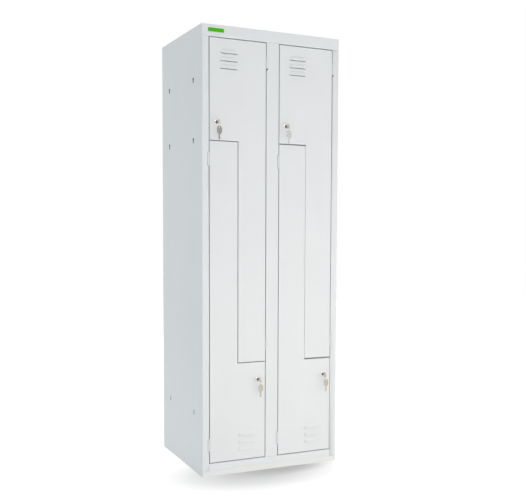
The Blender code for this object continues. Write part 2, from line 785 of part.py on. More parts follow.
def make_hinges(side, level, door_axis, frame_leaf, door_leaf):
    turn = DOOR_KINDS[level]["turn"]
    places = hinge_places(side, level)
    for end, height in hinge_heights(level).items():
        name = f"{side}_{level}_door_{hinge_name(level, end)}"
        put(f"{name}_frame_leaf", frame_leaf, BODY_PAINT, None, places[end], (0, turn, 0))
        put(f"{name}_door_leaf", door_leaf, BODY_PAINT, door_axis, (0, 0, height))


# Doors

def door_pan_mesh():
    # Front sheet, folded walls and a lip round the open back, seen from the hinge axis
    outline = [
        (0, 0),
        (DOOR_WIDTH, 0),
        (DOOR_WIDTH, WIDE_PART_HEIGHT),
        (STRIP_WIDTH, WIDE_PART_HEIGHT),
        (STRIP_WIDTH, DOOR_HEIGHT),
        (0, DOOR_HEIGHT),
    ]
    bm = bmesh.new()
    back = bm.faces.new([bm.verts.new((x, DOOR_DEPTH, z)) for x, z in outline])
    walls = bmesh.ops.extrude_edge_only(bm, edges=list(bm.edges))["geom"]
    front_corners = [part for part in walls if isinstance(part, bmesh.types.BMVert)]
    bmesh.ops.translate(bm, verts=front_corners, vec=(0, -DOOR_DEPTH, 0))
    front_edges = [edge for edge in bm.edges if all(vert in front_corners for vert in edge.verts)]
    bmesh.ops.edgeloop_fill(bm, edges=front_edges)
    folds = list(bm.edges)
    bmesh.ops.recalc_face_normals(bm, faces=bm.faces)
    bmesh.ops.inset_region(bm, faces=[back], thickness=DOOR_LIP, use_even_offset=True)
    bmesh.ops.delete(bm, geom=[back], context="FACES")
    bmesh.ops.bevel(
        bm,
        geom=folds,
        offset=DOOR_EDGE_RADIUS,
        offset_type="OFFSET",
        segments=EDGE_SEGMENTS,
        profile=ROUND_PROFILE,
        affect="EDGES",
    )
    bmesh.ops.recalc_face_normals(bm, faces=bm.faces)
    bmesh.ops.translate(bm, verts=bm.verts, vec=(HINGE_EDGE_OFFSET, -HINGE_DEPTH, 0))
    return to_mesh("door_pan", bm)


def louvre_form(proud, height, end, straight, back=None):
    # One pressed form: a stretched ball whose lower half, and what lies behind the sheet, is cut off
    bm = bmesh.new()
    bmesh.ops.create_uvsphere(bm, u_segments=LOUVRE_SEGMENTS, v_segments=LOUVRE_RINGS, radius=UNIT)
    bmesh.ops.rotate(bm, verts=bm.verts, matrix=Matrix.Rotation(math.pi / 2, 3, "Y"))
    bmesh.ops.scale(bm, verts=bm.verts, vec=(end, proud + LOUVRE_SINK, height))
    for vert in bm.verts:
        vert.co.x += math.copysign(straight / 2, vert.co.x)
        vert.co.y += LOUVRE_SINK
    planes = [((0, 0, 0), (0, 0, 1))]
    if back is not None:
        planes.append(((0, back, 0), (0, -1, 0)))
    for point, normal in planes:
        parts = bm.verts[:] + bm.edges[:] + bm.faces[:]
        sliced = bmesh.ops.bisect_plane(
            bm, geom=parts, dist=MERGE_DISTANCE, plane_co=point, plane_no=normal, clear_inner=True
        )
        rim = [part for part in sliced["geom_cut"] if isinstance(part, bmesh.types.BMEdge)]
        bmesh.ops.edgeloop_fill(bm, edges=rim)
    return to_mesh("louvre_form", bm)


def louvre_bank(name, level, inner):
    # The outside or the hollow of one door's louvres, in the door's own frame
    kind = DOOR_KINDS[level]
    share = LOUVRE_SINK / (LOUVRE_PROUD + LOUVRE_SINK)
    spread = 1 / math.sqrt(1 - share * share)  # the form is widest behind the sheet's face
    wall = DOOR_SHEET if inner else 0
    drop = LOUVRE_UNDERCUT if inner else 0
    form = louvre_form(
        LOUVRE_PROUD - wall,
        LOUVRE_HEIGHT * spread - wall + drop,
        LOUVRE_END * spread - wall,
        LOUVRE_WIDTH - 2 * LOUVRE_END,
        None if inner else DOOR_SHEET / 2,
    )
    bm = bmesh.new()
    x = HINGE_EDGE_OFFSET + DOOR_WIDTH / 2 + LOUVRE_SHIFT
    for index in range(LOUVRE_COUNT):
        z = kind["louvre_inset"] + index * LOUVRE_PITCH - drop
        if level == "upper":
            z += LOUVRE_HEIGHT + 2 * drop
        before = set(bm.verts)
        bm.from_mesh(form)
        fresh = [vert for vert in bm.verts if vert not in before]
        place = Matrix.Translation((x, -HINGE_DEPTH, z)) @ Matrix.Rotation(kind["turn"], 4, "Y")
        bmesh.ops.transform(bm, matrix=place, verts=fresh)
    bmesh.ops.recalc_face_normals(bm, faces=bm.faces)
    return to_mesh(name, bm)


def make_door(side, level, door_axis, lock_place):
    name = f"{side}_{level}_door"
    door = put(name, door_pan_mesh(), DOOR_PAINT, door_axis)
    solidify(door, DOOR_SHEET, INWARD)
    join(door, put_cutter(f"{name}_louvres", louvre_bank(f"{name}_louvres", level, False), door_axis))
    cut(door, put_cutter(f"{name}_vents", louvre_bank(f"{name}_vents", level, True), door_axis))
    hole = cylinder_mesh(f"{name}_lock_hole", BARREL_RADIUS + SEAM, -OVERRUN, DOOR_SHEET + OVERRUN)
    cut(door, put_cutter(f"{name}_lock_hole", hole, door_axis, lock_place, (-math.pi / 2, 0, 0)))


# Locks and keys. A lock's frame has its origin on the door's face and +Y into the cabinet.

INTO_DOOR = (-math.pi / 2, 0, 0)


def make_lock_housing(name, lock_axis):
    # Rim, barrel and the nut behind the door sheet, bored for the plug
    profile = [
        (0, BARREL_END),
        (BARREL_RADIUS, BARREL_END),
        (BARREL_RADIUS, -SEAM),
        (RIM_RADIUS, -SEAM),
        (RIM_RADIUS, RIM_CHAMFER - RIM_PROUD),
        (RIM_RADIUS - RIM_CHAMFER, -RIM_PROUD),
        (0, -RIM_PROUD),
    ]
    housing = turned(name, profile, CHROME, lock_axis, INTO_DOOR)
    nut_start = DOOR_SHEET + SEAM
    nut = cylinder_mesh(f"{name}_nut", NUT_RADIUS, nut_start, nut_start + NUT_THICKNESS, NUT_SIDES)
    join(housing, put_cutter(f"{name}_nut", nut, lock_axis, (0, 0, 0), INTO_DOOR))
    bore_radius = PLUG_RADIUS + PLUG_CLEARANCE
    bore = cylinder_mesh(f"{name}_bore", bore_radius, -RIM_PROUD - OVERRUN, BARREL_END + OVERRUN)
    cut(housing, put_cutter(f"{name}_bore", bore, lock_axis, (0, 0, 0), INTO_DOOR))


def cam_outline():
    # A link with a round hub and a smaller round tip
    length = CAM_REACH - CAM_TIP_RADIUS
    lean = math.asin((CAM_HUB_RADIUS - CAM_TIP_RADIUS) / length)
    square = math.pi / 2
    hub = circle(CAM_HUB_RADIUS, HOLE_POINTS, (0, 0), square - lean, 3 * square + lean, closed=False)
    tip = circle(CAM_TIP_RADIUS, HOLE_POINTS, (length, 0), lean - square, square - lean, closed=False)
    return hub + tip


def make_lock_plug(name, turn_axis, level):
    # The part that turns: plug with its keyway, and the cam bolted to its end
    bolt_end = CAM_START + CAM_SHEET + CAM_BOLT_HEAD
    profile = [
        (0, bolt_end),
        (CAM_BOLT_RADIUS, bolt_end),
        (CAM_BOLT_RADIUS, PLUG_END),
        (PLUG_RADIUS, PLUG_END),
        (PLUG_RADIUS, PLUG_CHAMFER - PLUG_PROUD),
        (PLUG_RADIUS - PLUG_CHAMFER, -PLUG_PROUD),
        (0, -PLUG_PROUD),
    ]
    plug = turned(name, profile, CHROME, turn_axis, INTO_DOOR)
    upward = math.pi / 2 if level == "lower" else -math.pi / 2
    cam = plate_mesh(f"{name}_cam", CAM_SHEET, cam_outline())
    place = (0, CAM_START + CAM_SHEET / 2, 0)
    join(plug, put_cutter(f"{name}_cam", cam, turn_axis, place, (math.pi / 2, -upward, 0)))
    blade_end = KEY_BLADE_LENGTH - KEY_STANDOFF + SEAM
    low = (-KEYWAY_WIDTH / 2, -PLUG_PROUD - OVERRUN, -KEYWAY_HEIGHT / 2)
    high = (KEYWAY_WIDTH / 2, blade_end, KEYWAY_HEIGHT / 2)
    cut(plug, put_cutter(f"{name}_keyway", box_mesh(f"{name}_keyway", (low, high)), turn_axis))


def key_mesh():
    # Flat key along X: the blade runs to -X from the shoulder at 0, the bow to +X
    half_blade = KEY_BLADE_WIDTH / 2
    tip = -KEY_BLADE_LENGTH
    outline = [(0, -half_blade), (tip + KEY_TIP, -half_blade), (tip, 0), (tip + KEY_TIP, half_blade)]
    cut_count = len(KEY_CUT_SHARES)
    pitch = (KEY_BLADE_LENGTH - 2 * KEY_TIP) / cut_count
    for index, share in enumerate(KEY_CUT_SHARES):
        start = tip + KEY_TIP + index * pitch
        outline.append((start + pitch / 2, half_blade - share * KEY_BLADE_WIDTH))
        outline.append((start + pitch, half_blade))
    outline[-1] = (-KEY_TIP, half_blade)
    centre = KEY_BOW_LENGTH / 2
    opening = math.asin(KEY_BLADE_WIDTH / KEY_BOW_WIDTH)
    for index in range(BOW_POINTS):
        angle = math.pi - opening - (2 * math.pi - 2 * opening) * index / (BOW_POINTS - 1)
        outline.append((centre + centre * math.cos(angle), KEY_BOW_WIDTH / 2 * math.sin(angle)))
    outline.pop(0)
    hole = circle(KEY_HOLE_RADIUS, HOLE_POINTS, (KEY_BOW_LENGTH - KEY_HOLE_INSET, 0))
    return plate_mesh("key", KEY_SHEET, outline, hole)


def ring_mesh():
    bpy.ops.mesh.primitive_torus_add(
        major_radius=RING_RADIUS,
        minor_radius=RING_WIRE_RADIUS,
        major_segments=RING_SEGMENTS,
        minor_segments=RING_SIDES,
    )
    drawn = bpy.context.object
    mesh = drawn.data
    bpy.data.objects.remove(drawn, do_unlink=True)
    shade_round(mesh)
    return mesh


def make_keys(name, turn_axis, key, ring):
    # The key in the lock has its flat upright. The ring hangs in its bow and the spare key in the ring.
    put(f"{name}_key", key, NICKEL, turn_axis, (0, -KEY_STANDOFF, 0), (math.pi / 2, 0, -math.pi / 2))
    hole_y = -KEY_STANDOFF - KEY_BOW_LENGTH + KEY_HOLE_INSET
    ring_top = RING_WIRE_RADIUS + RING_SEAT - KEY_HOLE_RADIUS
    ring_centre = (0, hole_y, ring_top - RING_RADIUS)
    put(f"{name}_key_ring", ring, ZINC, turn_axis, ring_centre, (math.pi / 2, 0, RING_TURN))
    ring_bottom = (0, hole_y, ring_top - 2 * RING_RADIUS)
    hang_axis = put_axis(f"{name}_spare_key_axis", turn_axis, ring_bottom)
    shoulder = KEY_HOLE_INSET - KEY_BOW_LENGTH - SPARE_KEY_RISE
    put(f"{name}_spare_key", key, NICKEL, hang_axis, (0, 0, shoulder), (math.pi / 2, -math.pi / 2, 0))


def make_door_group(side, level, frame_leaf, door_leaf, key, ring):
    name = f"{side}_{level}"
    origin, turn = door_frame(side, level)
    door_axis = put_axis(f"{name}_door_axis", None, origin, (0, turn, 0))
    lock_x = HINGE_EDGE_OFFSET + DOOR_WIDTH - LOCK_EDGE_INSET
    lock_place = Vector((lock_x, -HINGE_DEPTH, WIDE_PART_HEIGHT - DOOR_KINDS[level]["lock_from_step"]))
    make_door(side, level, door_axis, lock_place)
    make_hinges(side, level, door_axis, frame_leaf, door_leaf)
    lock_axis = put_axis(f"{name}_lock_axis", door_axis, lock_place, (0, -turn, 0))
    make_lock_housing(f"{name}_lock_housing", lock_axis)
    make_lock_plug(f"{name}_lock_plug", lock_axis, level)
    make_keys(name, lock_axis, key, ring)


def make_locker():
    for side in SIDES:
        make_side_panel(side)
        make_inside(side)
    make_mullion()
    make_centre_partition()
    make_top_panel()
    make_bottom_panel()
    make_back_panel()
    make_base_frame()
    make_label_plate()
    frame_leaf = settled_mesh("frame_leaf", frame_leaf_mesh())
    door_leaf = settled_mesh("door_leaf", door_leaf_mesh())
    key = key_mesh()
    ring = ring_mesh()
    for side in SIDES:
        for level in DOOR_KINDS:
            make_door_group(side, level, frame_leaf, door_leaf, key, ring)
    bpy.context.view_layer.update()


make_locker()
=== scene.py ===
import json
import math

import bmesh
import bpy
from mathutils import Matrix, Vector


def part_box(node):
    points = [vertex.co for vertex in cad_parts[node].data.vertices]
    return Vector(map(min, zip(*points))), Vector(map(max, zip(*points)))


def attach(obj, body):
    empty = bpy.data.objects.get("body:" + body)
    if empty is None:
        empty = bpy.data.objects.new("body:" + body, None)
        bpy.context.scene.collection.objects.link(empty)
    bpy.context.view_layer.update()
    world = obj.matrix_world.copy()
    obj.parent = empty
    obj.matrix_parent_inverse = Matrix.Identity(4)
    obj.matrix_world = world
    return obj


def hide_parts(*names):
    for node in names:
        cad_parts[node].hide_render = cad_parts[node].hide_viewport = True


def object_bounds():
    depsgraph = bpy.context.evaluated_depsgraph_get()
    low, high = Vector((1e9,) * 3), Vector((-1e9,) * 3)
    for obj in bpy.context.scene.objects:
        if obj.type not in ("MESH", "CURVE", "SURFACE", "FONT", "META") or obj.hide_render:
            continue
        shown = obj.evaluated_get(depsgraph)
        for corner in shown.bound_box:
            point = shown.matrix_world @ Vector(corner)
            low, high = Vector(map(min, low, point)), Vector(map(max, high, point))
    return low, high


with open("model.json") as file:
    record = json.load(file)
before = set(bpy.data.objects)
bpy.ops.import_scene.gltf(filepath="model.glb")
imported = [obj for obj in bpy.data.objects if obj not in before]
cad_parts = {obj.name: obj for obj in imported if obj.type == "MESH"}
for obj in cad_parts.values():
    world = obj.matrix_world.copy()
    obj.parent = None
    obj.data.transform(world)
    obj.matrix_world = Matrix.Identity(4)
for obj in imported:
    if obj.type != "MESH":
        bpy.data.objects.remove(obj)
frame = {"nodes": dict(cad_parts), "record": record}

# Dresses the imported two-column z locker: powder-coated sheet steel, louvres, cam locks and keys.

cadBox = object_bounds()
nodes = frame["nodes"]
doorPlaces = [(side, level) for side in ("left", "right") for level in ("upper", "lower")]
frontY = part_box("mullion")[0].y  # the plane of the cabinet's front and of the shut doors


def paint(red, green, blue):
    # a colour as a paint card gives it, 0 to 255, turned to the renderer's linear values
    shares = [channel / 255 for channel in (red, green, blue)]
    linear = [share / 12.92 if share <= 0.04045 else ((share + 0.055) / 1.055) ** 2.4 for share in shares]
    return (*linear, 1.0)


def darker(colour, share):
    # the same hue at a share of its level
    return paint(*[channel * share for channel in colour])


def newObject(name, data):
    item = bpy.data.objects.new(name, data)
    bpy.context.scene.collection.objects.link(item)
    return item


# Camera

cameraSetup = {
    "place": (-1.3999, -3.5511, 1.0167),
    "forward": (0.4614, 0.8844, -0.0708),
    "down": (-0.0244, -0.0672, -0.9974),
    "sensor": 36.0,
    "lens": 58.996,
    "shiftX": -0.1433,
    "shiftY": 0.0679,
}


def makeCamera():
    forward = Vector(cameraSetup["forward"]).normalized()
    right = Vector(cameraSetup["down"]).cross(forward).normalized()
    up = right.cross(forward).normalized()
    data = bpy.data.cameras.new("photoCamera")
    data.sensor_width = cameraSetup["sensor"]
    data.lens = cameraSetup["lens"]
    data.shift_x = cameraSetup["shiftX"]
    data.shift_y = cameraSetup["shiftY"]
    camera = newObject("photoCamera", data)
    turn = Matrix((right, up, -forward)).transposed().to_4x4()
    camera.matrix_world = Matrix.Translation(cameraSetup["place"]) @ turn
    bpy.context.scene.camera = camera


makeCamera()
print("camera set")


# Shader sheets

class Wire:
    # a socket that can stand in a sum, on either side of the sign

    def __init__(self, sheet, socket):
        self.sheet = sheet
        self.socket = socket

    def mathWith(self, operation, first, second):
        return self.sheet.add("ShaderNodeMath", {"operation": operation}, {0: first, 1: second})

    def __add__(self, other):
        return self.mathWith("ADD", self, other)

    def __radd__(self, other):
        return self.mathWith("ADD", other, self)

    def __sub__(self, other):
        return self.mathWith("SUBTRACT", self, other)

    def __rsub__(self, other):
        return self.mathWith("SUBTRACT", other, self)

    def __mul__(self, other):
        return self.mathWith("MULTIPLY", self, other)

    def __rmul__(self, other):
        return self.mathWith("MULTIPLY", other, self)


noiseDetail = {"cloudy": 3.0, "soft": 2.0, "fine": 1.0}


class Sheet:
    # the nodes of one material or of the world

    def __init__(self, owner, outputKind="ShaderNodeOutputMaterial"):
        self.owner = owner
        owner.use_nodes = True
        self.tree = owner.node_tree
        self.tree.nodes.clear()
        self.output = self.tree.nodes.new(outputKind)

    def add(self, kind, settings=None, values=None, out=0):
        node = self.tree.nodes.new(kind)
        for name, value in (settings or {}).items():
            if name == "stops":
                for element, (position, colour) in zip(node.color_ramp.elements, value):
                    element.position = position
                    element.color = colour
            else:
                setattr(node, name, value)
        for key, value in (values or {}).items():
            socket = node.inputs[key]
            if isinstance(value, Wire):
                self.tree.links.new(value.socket, socket)
            else:
                socket.default_value = value
        return Wire(self, node.outputs[out])

    def objectPlace(self):
        return self.add("ShaderNodeTexCoord", out="Object")

    def noise(self, scale, kind="soft"):
        values = {"Vector": self.objectPlace(), "Scale": scale, "Detail": noiseDetail[kind]}
        return self.add("ShaderNodeTexNoise", None, values)

    def blendColours(self, factor, first, second):
        return self.add("ShaderNodeMix", {"data_type": "RGBA"}, {0: factor, 6: first, 7: second}, out=2)

    def ramp(self, factor, low, high):
        # black up to low, white from high on
        stops = [(low, (0, 0, 0, 1)), (high, (1, 1, 1, 1))]
        return self.add("ShaderNodeValToRGB", {"stops": stops}, {0: factor})

    def bump(self, height, strength, distance):
        values = {"Height": height, "Strength": strength, "Distance": distance}
        return self.add("ShaderNodeBump", None, values)

    def seenDirectly(self):
        # 1 for what the camera or gloss sees, 0 for the light that falls on a surface
        seen = self.add("ShaderNodeLightPath", out="Is Camera Ray")
        for other in ("Is Glossy Ray", "Is Transmission Ray"):
            ray = self.add("ShaderNodeLightPath", out=other)
            seen = self.add("ShaderNodeMath", {"operation": "MAXIMUM"}, {0: seen, 1: ray})
        return seen

    def show(self, shader):
        self.tree.links.new(shader.socket, self.output.inputs[0])
        return self.owner

    def finish(self, values):
        return self.show(self.add("ShaderNodeBsdfPrincipled", None, values))


def newSheet(name):
    return Sheet(bpy.data.materials.new(name))


powderCoat = {
    "bodyColour": (228, 230, 232),
    "doorColour": (229, 230, 232),
    "insideColour": (216, 220, 222),
    "footLitColour": (231, 232, 232),  # painted light: the base strip is a shade lighter, for the light near the floor
    "dull": 0.97,  # the darker tone as a share of the colour
    "cloudScale": 6.0,
    "cloudShare": 0.7,
    "fineScale": 225.0,
    "fineShare": 0.3,
    "peelScale": 900.0,
    "peelHeight": 0.00004,
    "peelBump": 0.6,
    "fineBump": 0.4,
    "bumpStrength": 0.35,
    "roughness": 0.42,
    "roughSpread": 0.10,
}


def makePowderCoat(name, colour):
    # sprayed paint: a faint cloudy tone and a fine orange-peel skin
    sheet = newSheet(name)
    cloud = sheet.noise(powderCoat["cloudScale"], "cloudy")
    peel = sheet.noise(powderCoat["peelScale"], "fine")
    fine = sheet.noise(powderCoat["fineScale"], "fine")
    tone = cloud * powderCoat["cloudShare"] + fine * powderCoat["fineShare"]
    skin = peel * powderCoat["peelBump"] + fine * powderCoat["fineBump"]
    return sheet.finish({
        "Base Color": sheet.blendColours(tone, paint(*colour), darker(colour, powderCoat["dull"])),
        "Roughness": powderCoat["roughness"] + fine * powderCoat["roughSpread"],
        "Normal": sheet.bump(skin, powderCoat["bumpStrength"], powderCoat["peelHeight"]),
    })


bodyPaint = makePowderCoat("bodyPaint", powderCoat["bodyColour"])
doorPaint = makePowderCoat("doorPaint", powderCoat["doorColour"])
insidePaint = makePowderCoat("insidePaint", powderCoat["insideColour"])
footLitPaint = makePowderCoat("footLitPaint", powderCoat["footLitColour"])


plating = {
    "smudgeScale": 260.0,
    "smudgeFrom": 0.35,
    "smudgeTo": 0.75,
    "smudgeRough": 0.10,
    "dull": 0.86,
    "grainScale": 900.0,
    "grainRough": 0.05,
    "grainStrength": 0.12,
    "grainHeight": 0.00002,
}
metalLooks = {
    # black for the plates sunk in the side slots: painted shade
    "paintedSlotShadeBlack": {"colour": (22, 23, 24), "rough": 0.55, "grain": 1.0},
    "chrome": {"colour": (240, 242, 243), "rough": 0.14, "grain": 1.0},
    # the lock plug's dark brown is painted shade for its shadowed keyway and face
    "plugChromePaintedShade": {"colour": (128, 102, 90), "rough": 0.30, "grain": 1.0},
    "nickel": {"colour": (240, 234, 224), "rough": 0.30, "grain": 1.6},
    # the three nickels below are one metal in darker and paler copies for the spare keys: painted shade and
    # painted light
    "shadeDimmedNickel": {"colour": (206, 199, 190), "rough": 0.30, "grain": 1.6},
    "darkNickel": {"colour": (170, 165, 159), "rough": 0.30, "grain": 1.6},
    "paleNickel": {"colour": (222, 221, 219), "rough": 0.30, "grain": 1.6},
    "brightZinc": {"colour": (188, 190, 192), "rough": 0.34, "grain": 1.0},
}


def makeMetal(name, colour, rough, grain):
    # plated metal: soft smudges in its gloss, a fine grain, and darker spots where the plating is dull
    sheet = newSheet(name)
    smudge = sheet.noise(plating["smudgeScale"])
    fine = sheet.noise(plating["grainScale"] * grain, "fine")
    dulled = sheet.ramp(smudge, plating["smudgeFrom"], plating["smudgeTo"])
    return sheet.finish({
        "Base Color": sheet.blendColours(dulled, paint(*colour), darker(colour, plating["dull"])),
        "Metallic": 1.0,
        "Roughness": rough + smudge * plating["smudgeRough"] + fine * plating["grainRough"],
        "Normal": sheet.bump(fine, plating["grainStrength"], plating["grainHeight"]),
    })


drawnTube = {
    "colour": (188, 190, 192),
    "rough": 0.34,
    "lineScale": (30.0, 2400.0, 2400.0),
    "lineRough": 0.12,
    "lineStrength": 0.2,
    "lineHeight": 0.00002,
    "cloudScale": 45.0,
    "dull": 0.88,
}


def makeDrawnTube():
    # drawn tube: fine lines that run along it
    sheet = newSheet("brushedZinc")
    scaled = {"Vector": sheet.objectPlace(), "Scale": drawnTube["lineScale"]}
    stretched = sheet.add("ShaderNodeMapping", None, scaled)
    values = {"Vector": stretched, "Scale": 1.0, "Detail": noiseDetail["fine"]}
    lines = sheet.add("ShaderNodeTexNoise", None, values)
    light, dark = paint(*drawnTube["colour"]), darker(drawnTube["colour"], drawnTube["dull"])
    return sheet.finish({
        "Base Color": sheet.blendColours(sheet.noise(drawnTube["cloudScale"]), light, dark),
        "Metallic": 1.0,
        "Roughness": drawnTube["rough"] + lines * drawnTube["lineRough"],
        "Normal": sheet.bump(lines, drawnTube["lineStrength"], drawnTube["lineHeight"]),
    })


plastic = {
    "limeColour": (76, 190, 2),
    "limeDeep": (68, 176, 2),
    "cloudScale": 60.0,
    "roughness": 0.55,
    "gloss": 0.12,
    "grainScale": 1800.0,
    "grainRough": 0.08,
    "grainStrength": 0.2,
    "grainHeight": 0.00002,
}


def makePlastic():
    sheet = newSheet("limePlastic")
    cloud = sheet.noise(plastic["cloudScale"])
    grain = sheet.noise(plastic["grainScale"], "fine")
    return sheet.finish({
        "Base Color": sheet.blendColours(cloud, paint(*plastic["limeColour"]), paint(*plastic["limeDeep"])),
        "Roughness": plastic["roughness"] + grain * plastic["grainRough"],
        "Specular IOR Level": plastic["gloss"],
        "Normal": sheet.bump(grain, plastic["grainStrength"], plastic["grainHeight"]),
    })


metals = {name: makeMetal(name, **look) for name, look in metalLooks.items()}
brushedZinc = makeDrawnTube()
limePlastic = makePlastic()

slotMaterials = {
    "body_paint": bodyPaint,
    "door_paint": doorPaint,
    "inside_paint": insidePaint,
    "zinc": metals["brightZinc"],
    "chrome": metals["chrome"],
    "nickel": metals["nickel"],
    "green_plate": limePlastic,
}
slotOf = {subpart["node"]: subpart["material_slot"] for subpart in frame["record"]["subparts"]}
for name, node in nodes.items():
    coat = footLitPaint if name == "base_frame" else slotMaterials[slotOf[name]]
    for materialSlot in node.material_slots:
        materialSlot.material = coat
print("materials made")


# Small makers

making = {
    "sharpAngle": math.radians(32),  # edges that turn further than this stay sharp
    "bevelSteps": 2,
    "roundSteps": 3,
    "cornerPoints": 7,
    "samePlace": 0.00001,  # points closer than this are one
    "flatAngle": 0.01,  # faces that turn less than this are one
    "levelSlack": 1e-9,  # how far from level the edges of a plate's face may be
    "squareSlack": 0.1,  # how far from square its face and side may meet, as a cosine
}


def plainMesh(bm, name):
    mesh = bpy.data.meshes.new(name)
    bm.to_mesh(mesh)
    bm.free()
    return mesh


def meshOf(bm, name):
    # a closed form, with its faces turned outwards
    bmesh.ops.recalc_face_normals(bm, faces=bm.faces)
    return plainMesh(bm, name)


def solidFrom(bm, name):
    return newObject(name, meshOf(bm, name))


def settle(item):
    # keeps what the modifiers make as the object's own mesh
    evaluated = item.evaluated_get(bpy.context.evaluated_depsgraph_get())
    mesh = bpy.data.meshes.new_from_object(evaluated)
    item.modifiers.clear()
    item.data = mesh
    return item


def discard(item):
    bpy.data.objects.remove(item, do_unlink=True)


def cutAway(item, cutter):
    # takes the cutter's form out of a piece, after the piece's other modifiers
    cut = item.modifiers.new("cut", "BOOLEAN")
    cut.operation = "DIFFERENCE"
    cut.solver = "EXACT"
    cut.object = cutter
    settle(item)
    discard(cutter)


def dress(item, material, body, slot, *replaced):
    # gives a finished piece its coat, the body that it moves with and the node that it stands for
    item.data.materials.clear()
    item.data.materials.append(material)
    for polygon in item.data.polygons:
        polygon.material_index = 0
    item.data.shade_smooth()
    item.data.set_sharp_from_angle(angle=making["sharpAngle"])
    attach(item, body)
    if replaced:
        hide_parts(*replaced)
    return item


def laidAlong(x, y, z, place=(0, 0, 0)):
    # lays a form's own X, Y and Z along three directions of the cabinet
    return Matrix.Translation(place) @ Matrix((x, y, z)).transposed().to_4x4()


def arc(centre, radius, start, end, count):
    points = []
    for step in range(count):
        angle = start + (end - start) * step / (count - 1)
        points.append((centre[0] + radius * math.cos(angle), centre[1] + radius * math.sin(angle)))
    return points


def circle(centre, radius, count):
    return arc(centre, radius, 0, 2 * math.pi * (count - 1) / count, count)


def cornerArc(x, z, radius, start):
    # a quarter turn round a place, from an angle in degrees
    return arc((x, z), radius, math.radians(start), math.radians(start + 90), making["cornerPoints"])


def bevelEdges(bm, edges, width):
    bmesh.ops.bevel(bm, geom=edges, offset=width, segments=making["bevelSteps"], profile=0.5,
                    affect="EDGES", clamp_overlap=True)


def addSlab(bm, low, high, bevel):
    # a box between two corners with its edges rounded over
    made = bmesh.ops.create_cube(bm, size=1.0)["verts"]
    bmesh.ops.scale(bm, verts=made, vec=Vector(high) - Vector(low))
    bmesh.ops.translate(bm, verts=made, vec=(Vector(high) + Vector(low)) / 2)
    edges = dict.fromkeys(edge for vert in made for edge in vert.link_edges)  # in the same order each run
    bevelEdges(bm, list(edges), bevel)


def addLoop(bm, points, placing):
    return [bm.verts.new(placing @ Vector(point)) for point in points]


def joinLoops(bm, first, second):
    # a band of faces between two loops of points, or a fan where one of them is a single point
    steps = max(len(first), len(second))
    for step in range(steps):
        after = (step + 1) % steps
        corners = (first[step % len(first)], second[step % len(second)],
                   second[after % len(second)], first[after % len(first)])
        bm.faces.new(tuple(dict.fromkeys(corners)))


axisTurns = {
    "X": Matrix.Rotation(math.pi / 2, 4, "Y"),
    "Y": Matrix.Rotation(-math.pi / 2, 4, "X"),
    "Z": Matrix(),
}


def addCircles(bm, profile, steps, place, axis):
    # a circle of points for each (radius, distance along the axis), or one point where the radius is 0
    placing = Matrix.Translation(place) @ axisTurns[axis]
    loops = []
    for radius, along in profile:
        angles = [2 * math.pi * step / steps for step in range(steps if radius else 1)]
        points = [(radius * math.cos(angle), radius * math.sin(angle), along) for angle in angles]
        loops.append(addLoop(bm, points, placing))
    return loops


def addTurned(bm, profile, steps, place, axis="Y"):
    # turns an outline that starts and ends on the axis into a solid form
    loops = addCircles(bm, profile, steps, place, axis)
    for first, second in zip(loops, loops[1:]):
        joinLoops(bm, first, second)


def addTube(bm, profile, steps, place, axis="Y"):
    # turns a closed outline into a ring with a hole through it
    loops = addCircles(bm, profile, steps, place, axis)
    for index, second in enumerate(loops):
        joinLoops(bm, loops[index - 1], second)


def roundedProfile(corners):
    # replaces each corner (radius, along, rounding) by a small arc
    steps = making["roundSteps"]
    points = []
    for index, (radius, along, rounding) in enumerate(corners):
        if not rounding:
            points.append((radius, along))
            continue
        here = Vector((radius, along))
        before = (Vector(corners[index - 1][:2]) - here).normalized()
        after = (Vector(corners[(index + 1) % len(corners)][:2]) - here).normalized()
        half = before.angle(after) / 2
        reach = rounding / math.tan(half)
        middle = here + (before + after).normalized() * (rounding / math.sin(half))
        start = (here + before * reach - middle).normalized()
        end = (here + after * reach - middle).normalized()
        for step in range(steps + 1):
            points.append(tuple(middle + start.slerp(end, step / steps) * rounding))
    return points


def isRim(edge):
    # an edge that lies level, where a plate's face meets its side
    if not edge.is_manifold or abs(edge.verts[0].co.z - edge.verts[1].co.z) >= making["levelSlack"]:
        return False
    first, second = edge.link_faces
    return abs(first.normal.dot(second.normal)) < making["squareSlack"]


def addPlate(bm, outline, holes, thickness, bevel, place):
    # a flat part in the XY plane, cut to an outline, with its edges eased
    plate = bmesh.new()
    edges = []
    for loop in (outline, *holes):
        verts = [plate.verts.new((x, y, 0)) for x, y in loop]
        edges += [plate.edges.new((verts[index - 1], verts[index])) for index in range(len(verts))]
    bmesh.ops.triangle_fill(plate, edges=edges, use_beauty=True)
    bmesh.ops.dissolve_limit(plate, angle_limit=making["flatAngle"], verts=plate.verts, edges=plate.edges)
    for flat in plate.faces:
        if flat.normal.z < 0:
            flat.normal_flip()
    raised = bmesh.ops.extrude_face_region(plate, geom=list(plate.faces))["geom"]
    top = [part for part in raised if isinstance(part, bmesh.types.BMVert)]
    bmesh.ops.translate(plate, verts=top, vec=(0, 0, thickness))
    if bevel:
        bevelEdges(plate, [edge for edge in plate.edges if isRim(edge)], bevel)
    placing = place @ Matrix.Translation((0, 0, -thickness / 2))
    bmesh.ops.transform(plate, verts=plate.verts, matrix=placing)
    bm.from_mesh(plainMesh(plate, "plate"))


def lockPlace(side, level):
    # where a lock's axis meets the door's face
    low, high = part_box(f"{side}_{level}_lock_housing")
    middle = (low + high) / 2
    return Vector((middle.x, frontY, middle.z))


# Geometry Nodes: trees that make plain meshes of rows and rings

